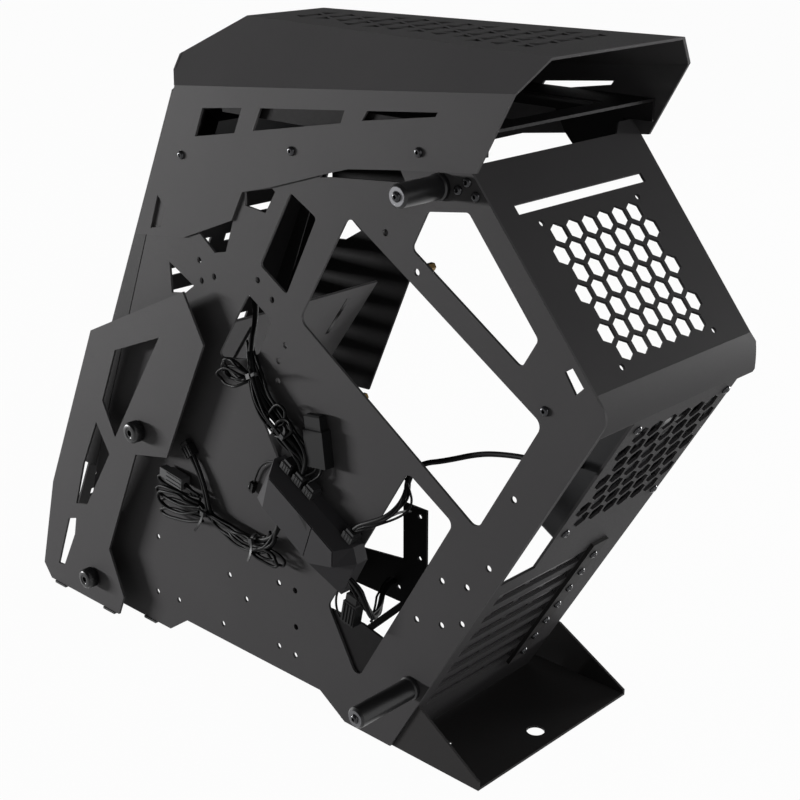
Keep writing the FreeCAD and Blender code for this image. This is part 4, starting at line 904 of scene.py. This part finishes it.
@dataclass
class CableRun:
    """One cable: its declared run, the thin wires along it, and the loops, ties and plugs on it."""

    name: str
    route: tuple[Point, ...]
    diameter_mm: float
    wires: tuple[Wire, ...] = ()
    loops: tuple[Loop, ...] = ()
    strays: tuple[Stray, ...] = ()
    ties: tuple[float, ...] = ()
    blocks: tuple[PlugBlock, ...] = ()
    seed: int = 1
    wire_step: int = 5
    wire_twist: float = 0.035
    wire_wander: float = 0.5
    wire_sink: float = -0.45
    wire_end_share: float = 0.5
    loop_end_share: float = 0.4
    gather_points: int = 15
    round_steps: int = 3
    line_steps: int = 8
    pieces: list[bpy.types.Object] = field(default_factory=list)

    def curve(self, name: str, diameter_mm: float, strands: Iterable[Strand]) -> bpy.types.Curve:
        """Make a curve of smooth round strands.

        Args:
            name: Name of the curve.
            diameter_mm: Diameter of a strand whose scale is 1, or zero for bare lines.
            strands: Each strand's control points in millimetres, and its scale.

        Returns:
            The curve.
        """
        curve = bpy.data.curves.new(name, "CURVE")
        curve.dimensions = "3D"
        curve.bevel_depth = diameter_mm * MM / 2
        curve.bevel_resolution = self.round_steps
        curve.use_fill_caps = diameter_mm > 0
        for points, scale in strands:
            control = list(points)
            line = curve.splines.new("NURBS")
            line.points.add(len(control) - 1)
            for spot, (x, y, z) in zip(line.points, control):
                spot.co = (x * MM, y * MM, z * MM, 1)
                spot.radius = scale
            line.order_u = 3
            line.use_endpoint_u = True
            line.resolution_u = self.line_steps
        return curve

    def piece(self, part: str, diameter_mm: float, strands: Iterable[Strand]) -> bpy.types.Object:
        """Make one piece of the cable.

        Args:
            part: What it is, which ends its name.
            diameter_mm: Diameter of a strand whose scale is 1.
            strands: Its strands.

        Returns:
            The new piece.
        """
        name = "%s_%s" % (self.name, part)
        return new_object(name, self.curve(name, diameter_mm, strands), VINYL_AND_SHADE)

    def centre_line(self) -> list[Vector]:
        """Read points along the run's own spline, in millimetres.

        Returns:
            Points from the exit to the far end.
        """
        curve = self.curve(self.name + "_guide", 0.0, [(self.route, 1.0)])
        guide = bpy.data.objects.new(curve.name, curve)
        mesh = bpy.data.meshes.new_from_object(guide)
        points = [vert.co / MM for vert in mesh.vertices]
        bpy.data.objects.remove(guide)
        bpy.data.curves.remove(curve)
        bpy.data.meshes.remove(mesh)
        return points

    def wire_strand(self, wire: Wire, line: list[Vector], chance: random.Random) -> Strand:
        """Wind one thin wire loosely along the run.

        Args:
            wire: Its size and place.
            line: Points along the run.
            chance: Source of the wire's unevenness.

        Returns:
            The wire's strand.
        """
        first, last = int(wire.start * (len(line) - 1)), int(wire.end * (len(line) - 1))
        points = []
        for i in range(first, last + 1, self.wire_step):
            along = heading(line, i)
            outward = away_from_tray(along)
            angle = wire.phase + self.wire_twist * i + self.wire_wander * chance.random()
            reach = wire.reach_mm * uneven(chance, LIFT_SPREAD)
            if i in (first, last):
                reach *= self.wire_end_share
            lift = max(self.wire_sink, math.cos(angle)) * reach
            gather = min(1.0, (i - first) / self.gather_points, (last - i) / self.gather_points)
            aside = along.cross(outward) * (math.sin(angle) * reach + wire.shift_mm * gather)
            points.append(tuple(line[i] + outward * lift + aside))
        return points, wire.size_mm

    def loop_strand(self, loop: Loop, chance: random.Random) -> Strand:
        """Fold one spare loop: out from its tie, round and back.

        Args:
            loop: Its size and place.
            chance: Source of the loop's unevenness.

        Returns:
            The loop's strand.
        """
        lean = math.radians(loop.heading_deg)
        ahead = Vector((math.cos(lean), 0, math.sin(lean)))
        aside = Vector((-math.sin(lean), 0, math.cos(lean)))
        points = []
        for k, (far, wide) in enumerate(LOOP_SHAPE):
            at_tie = k in (0, len(LOOP_SHAPE) - 1)
            lift = loop.lift_mm * uneven(chance, LIFT_SPREAD) * (self.loop_end_share if at_tie else 1.0)
            swing = aside * wide * loop.width_mm * uneven(chance, WIDTH_SPREAD)
            spot = Vector(loop.tie) + ahead * far * loop.length_mm + swing
            points.append(tuple(spot + Vector((0, -lift, 0))))
        return points, loop.size_mm

    def build(self) -> None:
        main = self.piece("run", self.diameter_mm, [(self.route, 1.0)])
        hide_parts(self.name)
        line = self.centre_line()
        chance = random.Random(self.seed)
        thin = {"wires": [self.wire_strand(wire, line, chance) for wire in self.wires],
                "loops": [self.loop_strand(loop, chance) for loop in self.loops],
                "strays": [(stray.points, stray.size_mm) for stray in self.strays]}
        for part, strands in thin.items():
            if strands:
                self.pieces.append(self.piece(part, 1.0, strands))
        for number, share in enumerate(self.ties, 1):
            i = int(share * (len(line) - 1))
            tie = FlatTie("%s_tie_%d" % (self.name, number), self.diameter_mm)
            self.pieces.append(tie.build(line[i] * MM, heading(line, i)))
        for block in self.blocks:
            piece = block.build()
            if block.stands_for:
                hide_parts(block.stands_for)
            self.pieces.append(piece)


# The cables, in millimetres: routes follow the solids' tubes, and the wires, loops and strays lie round them
CABLES: tuple[CableRun, ...] = (
    CableRun("front_panel_cable",
             ((46.8, -100, 204.2), (51.1, -100, 213.9), (44.6, -101, 223), (29.6, -101, 232.5), (12, -101, 245),
              (-1.8, -100, 260.5), (-10.3, -98, 279), (-18.4, -89, 292), (-26.4, -78, 300), (-31.4, -72, 318),
              (-42.4, -68, 340), (-54.4, -62, 364), (-62.4, -55, 388), (-68.3, -48, 408), (-86, -46, 420.5),
              (-96.8, -46, 425.7)), 4.5,
             wires=(Wire(2.4, 2.5, 0.3, 0, 0.46, 6), Wire(2.4, 2.5, 1.7, 0, 0.44, 3), Wire(2.4, 3, 3.1, 0, 0.5),
                    Wire(2.4, 3, 4.4, 0, 0.43, -3), Wire(2.4, 2.5, 5.5, 0, 0.42, -5.5),
                    Wire(2.4, 2.5, 2.4, 0.02, 0.4, -8), Wire(2.2, 3, 0.9, 0.03, 0.38, -10.5),
                    Wire(2.2, 4, 2, 0, 0.7, 1), Wire(2.2, 3.5, 3.8, 0.05, 0.41, -6.5),
                    Wire(2.2, 3.5, 5, 0.04, 0.39, -1.5), Wire(2, 4, 1.2, 0.02, 0.45, 4.5),
                    Wire(2, 4, 2.9, 0.06, 0.4, -9)),
             loops=(Loop((-10, -98, 266), 176, 31, 15, 2.2), Loop((-11, -98.5, 267), 170, 27, 12, 2.2, 3.5),
                    Loop((-9, -98, 268), 181, 24, 10, 2.2, 5), Loop((-12, -99, 265), 186, 28, 13, 2.2, 6),
                    Loop((-10, -99, 269), 166, 22, 9, 2, 7), Loop((14, -101, 233), 50, 26, 13, 2.2),
                    Loop((20, -101, 229), 35, 24, 11, 2.2, 4)),
             strays=(Stray(((28, -101, 202), (19, -101, 205), (10.9, -99, 204), (-0.5, -96, 198.4), (-8, -94.5, 192),
                            (-13, -94, 184), (-16.3, -94, 175.6)), 1.7),
                     Stray(((64.5, -97, 217), (64, -97.5, 209), (60, -99, 203.5), (53, -101, 199)), 2),
                     Stray(((60, -97, 217), (59, -97.5, 210), (55, -99, 206.5), (49, -101, 203)), 2)),
             ties=(0.17, 0.36),
             blocks=(PlugBlock("spare_connector", (60, -97, 233.5), 97, 20, 40, 9, 0),
                     PlugBlock("lead_connector", (-17.4, -94.6, 172), 252, 5, 10, 4, 2)), seed=3),
    CableRun("fan_lead",
             ((99.3, -100, 175.1), (104.1, -100, 180.5), (116.7, -99.5, 187), (129.2, -97.5, 194),
              (135.7, -91.5, 202), (136.2, -84.5, 209.5), (134.7, -80, 218), (137.7, -77, 228), (146.7, -74.5, 234),
              (157.7, -72, 237.5), (169.2, -69.5, 242), (181.7, -68, 247.5), (194.2, -67, 252), (206.7, -66.5, 255),
              (219.7, -66.5, 257.5), (233.2, -67, 259.5), (252, -69, 257.5), (261, -60.2, 257), (261, -48, 257)), 4.0,
             wires=(Wire(1.7, 2.5, 0.6, 0, 0.33), Wire(1.7, 3, 2.6, 0, 0.36, 2), Wire(1.7, 2.5, 4.4, 0, 0.3, 4)),
             strays=(Stray(((98, -100, 175.6), (104.9, -99, 180), (117.4, -96.5, 186.7), (127.5, -90.5, 192.1),
                            (122.5, -77, 189), (111, -56, 179.5), (97.5, -36, 168)), 2),
                     Stray(((99.5, -101, 174), (110.3, -100, 179.5), (124.9, -97, 187.7), (134.5, -92, 193),
                            (140.3, -87, 198.1), (142.5, -84, 205.2), (139.1, -83, 213.3), (133, -82, 222)), 1.8)),
             seed=4),
    CableRun("hub_power_cable",
             ((96.2, -101, 134.5), (105.8, -101, 129.2), (112.2, -101, 119.5), (112.7, -96.5, 109), (107.7, -88, 102),
              (100.7, -77, 99.5), (93.2, -66, 100), (85.2, -56, 101.5), (79.2, -45.5, 102.5), (77.7, -34.4, 102.5)),
             4.5,
             wires=(Wire(1.8, 3, 0.4), Wire(1.8, 3, 2.2), Wire(1.8, 3, 4.4)),
             strays=(Stray(((97, -101, 135), (99.5, -101.5, 131), (100.5, -101.5, 126), (100.5, -100.5, 120)), 1.8),
                     Stray(((95, -101, 135.5), (96, -101.5, 131), (97, -101.5, 126), (98, -100.5, 120)), 1.8),
                     Stray(((92, -101.5, 136), (86, -103, 126), (82, -103, 113), (84, -102, 101), (92, -101, 95.5),
                            (99, -101, 99)), 1.8)),
             blocks=(PlugBlock("power_connector", (98, -100.5, 112), 78, 13, 26, 9, 4),), seed=5),
    CableRun("hub_front_cable",
             ((-90.3, -98, 146), (-79.3, -98, 139.5), (-62.4, -99, 134.5), (-42.4, -99, 133), (-23.4, -100, 131.5),
              (-6.3, -100, 132.5), (7.7, -100, 138), (15.8, -100, 147.3), (21.1, -100, 157.9)), 4.5,
             wires=(Wire(2.4, 2.5, 0.2, 0, 1, -3), Wire(2.4, 2.5, 1.8, 0, 0.95, 3), Wire(2.4, 3, 3, 0, 0.9, 6),
                    Wire(2.4, 2.5, 4.6, 0.05, 0.85, 9), Wire(2.4, 3, 5.4, 0.1, 0.8),
                    Wire(2.2, 3.5, 0.9, 0.15, 0.9, 11), Wire(2.2, 3.5, 2.4, 0.1, 0.75, 5),
                    Wire(2.2, 3, 3.9, 0.2, 1, 8)),
             loops=(Loop((-80, -98, 147), 176, 49, 9, 2.8), Loop((-79, -99, 140.5), 181, 51, 10, 2.8, 3),
                    Loop((-78, -98, 134), 186, 50, 9, 2.8), Loop((-77, -99, 128.5), 189, 51, 8, 2.8, 3),
                    Loop((-80, -99.5, 137.5), 184, 47, 15, 2.6, 4.5), Loop((-30, -99, 127), 356, 44, 9, 2.4),
                    Loop((-20, -99, 126), 351, 38, 11, 2.4, 3.5), Loop((-40, -99, 129), 357, 36, 8, 2.4, 4),
                    Loop((2, -98, 126), 350, 22, 9, 2.2)),
             strays=(Stray(((-66, -99, 131), (-70, -98, 137), (-73, -97, 147), (-78, -96, 160), (-84, -96, 170),
                            (-91.3, -96, 179)), 3.4),
                     Stray(((-60, -100, 131), (-66, -99, 139), (-69, -98, 149), (-75, -97, 162), (-82, -96, 173),
                            (-88, -96, 182)), 3),
                     Stray(((-97, -99, 153.6), (-92, -98.5, 151.5), (-87, -98, 147.5), (-81, -98, 142)), 2.6)),
             ties=(0.16, 0.62),
             blocks=(PlugBlock("leg_connector", (-93, -96, 184.5), 128, 11, 14, 6.5, 3),
                     PlugBlock("hank_plug", (-110.5, -99, 155.5), 172, 10, 30, 9, 3, NYLON_GREY, "cable_hank")),
             seed=7),
)


@dataclass(frozen=True)
class Lamp:
    """One soft lamp: where it hangs, the point that it faces, its width and height, and its power."""

    name: str
    at: Point
    aim: Point
    size_m: Pair
    watts: float

    def hang(self) -> None:
        """Hang the lamp."""
        data = bpy.data.lights.new(self.name, "AREA")
        data.shape = "RECTANGLE"
        data.size, data.size_y = self.size_m
        data.energy = self.watts
        lamp = bpy.data.objects.new(self.name, data)
        bpy.context.scene.collection.objects.link(lamp)
        lamp.location = self.at
        lamp.rotation_euler = (Vector(self.aim) - Vector(self.at)).to_track_quat("-Z", "Y").to_euler()
        log.info("hung %s", self.name)


@dataclass
class Studio:
    """Pale floor, soft light that comes mostly low from the left, and a camera at the photograph's viewing angle."""

    camera_at: Point = (0.80035, -0.7926, 0.640)
    looks_along: Point = (-0.6444, 0.6816, -0.3468)
    lens_mm: float = 67.41
    sensor_mm: float = 36.0
    nearest_m: float = 0.01
    floor_m: float = 14.0
    paper: str = "f4f4f2"
    paper_share: float = 0.97
    room_level: float = 0.08
    wall_fade: Pair = (0.04, 0.42)
    # A far, low lamp at the left, a low one on the board side, and two weak ones higher up
    lamps: tuple[Lamp, ...] = (
        Lamp("key_left", (-3.74, -2.0, 0.16), (0.0, -0.1, 0.3), (1.2, 0.3), 215),
        Lamp("rear_far", (0.8, 2.4, 0.16), (-0.1, 0.0, 0.3), (1.0, 0.3), 60),
        Lamp("rear_right", (2.4, -0.3, 1.2), (0.2, 0.0, 0.3), (1.2, 1.2), 14),
        Lamp("overhead", (0.3, 0.6, 3.0), (0.0, 0.0, 0.4), (1.5, 1.5), 6))

    def camera(self) -> None:
        """Place the camera."""
        data = bpy.data.cameras.new("camera")
        data.lens = self.lens_mm
        data.sensor_width = self.sensor_mm
        data.clip_start = self.nearest_m
        eye = bpy.data.objects.new("camera", data)
        bpy.context.scene.collection.objects.link(eye)
        eye.location = self.camera_at
        eye.rotation_euler = Vector(self.looks_along).to_track_quat("-Z", "Y").to_euler()
        bpy.context.scene.camera = eye

    def seen(self, tree: bpy.types.NodeTree) -> bpy.types.NodeSocket:
        """Tell the rays that show the background from those that light the case.

        Args:
            tree: Node tree to add to.

        Returns:
            One for camera, glossy and transmission rays, else zero.
        """
        rays = add_node(tree, "ShaderNodeLightPath", {}, {}).outputs
        first = add_node(tree, "ShaderNodeMath", {"operation": "MAXIMUM"},
                         {0: rays["Is Camera Ray"], 1: rays["Is Glossy Ray"]})
        both = add_node(tree, "ShaderNodeMath", {"operation": "MAXIMUM"},
                        {0: first.outputs[0], 1: rays["Is Transmission Ray"]})
        return both.outputs[0]

    def floor(self) -> None:
        """Lay a pale floor that is white to the eye and keeps the shadow."""
        mesh = bpy.data.meshes.new("studio_floor")
        build = bmesh.new()
        bmesh.ops.create_grid(build, x_segments=1, y_segments=1, size=self.floor_m)
        build.to_mesh(mesh)
        build.free()
        floor = bpy.data.objects.new("studio_floor", mesh)
        bpy.context.scene.collection.objects.link(floor)
        paper = bpy.data.materials.new("seamless_paper_matte")
        paper.use_nodes = True
        tree = paper.node_tree
        tree.nodes.clear()
        diffuse = add_node(tree, "ShaderNodeBsdfDiffuse", {"Color": linear(self.paper)}, {})
        glow = add_node(tree, "ShaderNodeEmission", {"Color": (1, 1, 1, 1), "Strength": 1.0}, {})
        share = add_node(tree, "ShaderNodeMath", {"operation": "MULTIPLY", 1: self.paper_share}, {0: self.seen(tree)})
        mixed = add_node(tree, "ShaderNodeMixShader", {},
                         {0: share.outputs[0], 1: diffuse.outputs[0], 2: glow.outputs[0]})
        add_node(tree, "ShaderNodeOutputMaterial", {}, {"Surface": mixed.outputs[0]})
        mesh.materials.append(paper)

    def world(self) -> None:
        """Fill the room with a dim light: white walls up to a dark ceiling, and white to the camera."""
        room = bpy.data.worlds.new("studio_room")
        bpy.context.scene.world = room
        room.use_nodes = True
        tree = room.node_tree
        tree.nodes.clear()
        place = add_node(tree, "ShaderNodeTexCoord", {}, {})
        parts = add_node(tree, "ShaderNodeSeparateXYZ", {}, {"Vector": place.outputs["Generated"]})
        fade = {"From Min": self.wall_fade[0], "From Max": self.wall_fade[1], "To Min": 1.0, "To Max": self.room_level}
        wall = add_node(tree, "ShaderNodeMapRange", fade, {"Value": parts.outputs["Z"]})
        rays = add_node(tree, "ShaderNodeLightPath", {}, {})
        white = add_node(tree, "ShaderNodeMath", {"operation": "MAXIMUM"},
                         {0: wall.outputs["Result"], 1: rays.outputs["Is Camera Ray"]})
        shown = add_node(tree, "ShaderNodeMath", {"operation": "MULTIPLY"}, {0: white.outputs[0], 1: self.seen(tree)})
        level = add_node(tree, "ShaderNodeMath", {"operation": "MAXIMUM", 1: self.room_level}, {0: shown.outputs[0]})
        back = add_node(tree, "ShaderNodeBackground", {"Color": (1, 1, 1, 1)}, {"Strength": level.outputs[0]})
        add_node(tree, "ShaderNodeOutputWorld", {}, {"Surface": back.outputs["Background"]})

    def build(self) -> None:
        """Set up the whole studio."""
        self.camera()
        self.floor()
        self.world()
        for lamp in self.lamps:
            lamp.hang()
        bpy.context.scene.view_settings.view_transform = "Standard"


def main() -> None:
    """Build the studio and dress the case."""
    Studio().build()
    SheetWork().dress()
    for cable in CABLES:
        cable.build()
    Fixings().build()
    ControllerHub().build()
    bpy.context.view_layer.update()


if __name__ == "__main__":
    main()
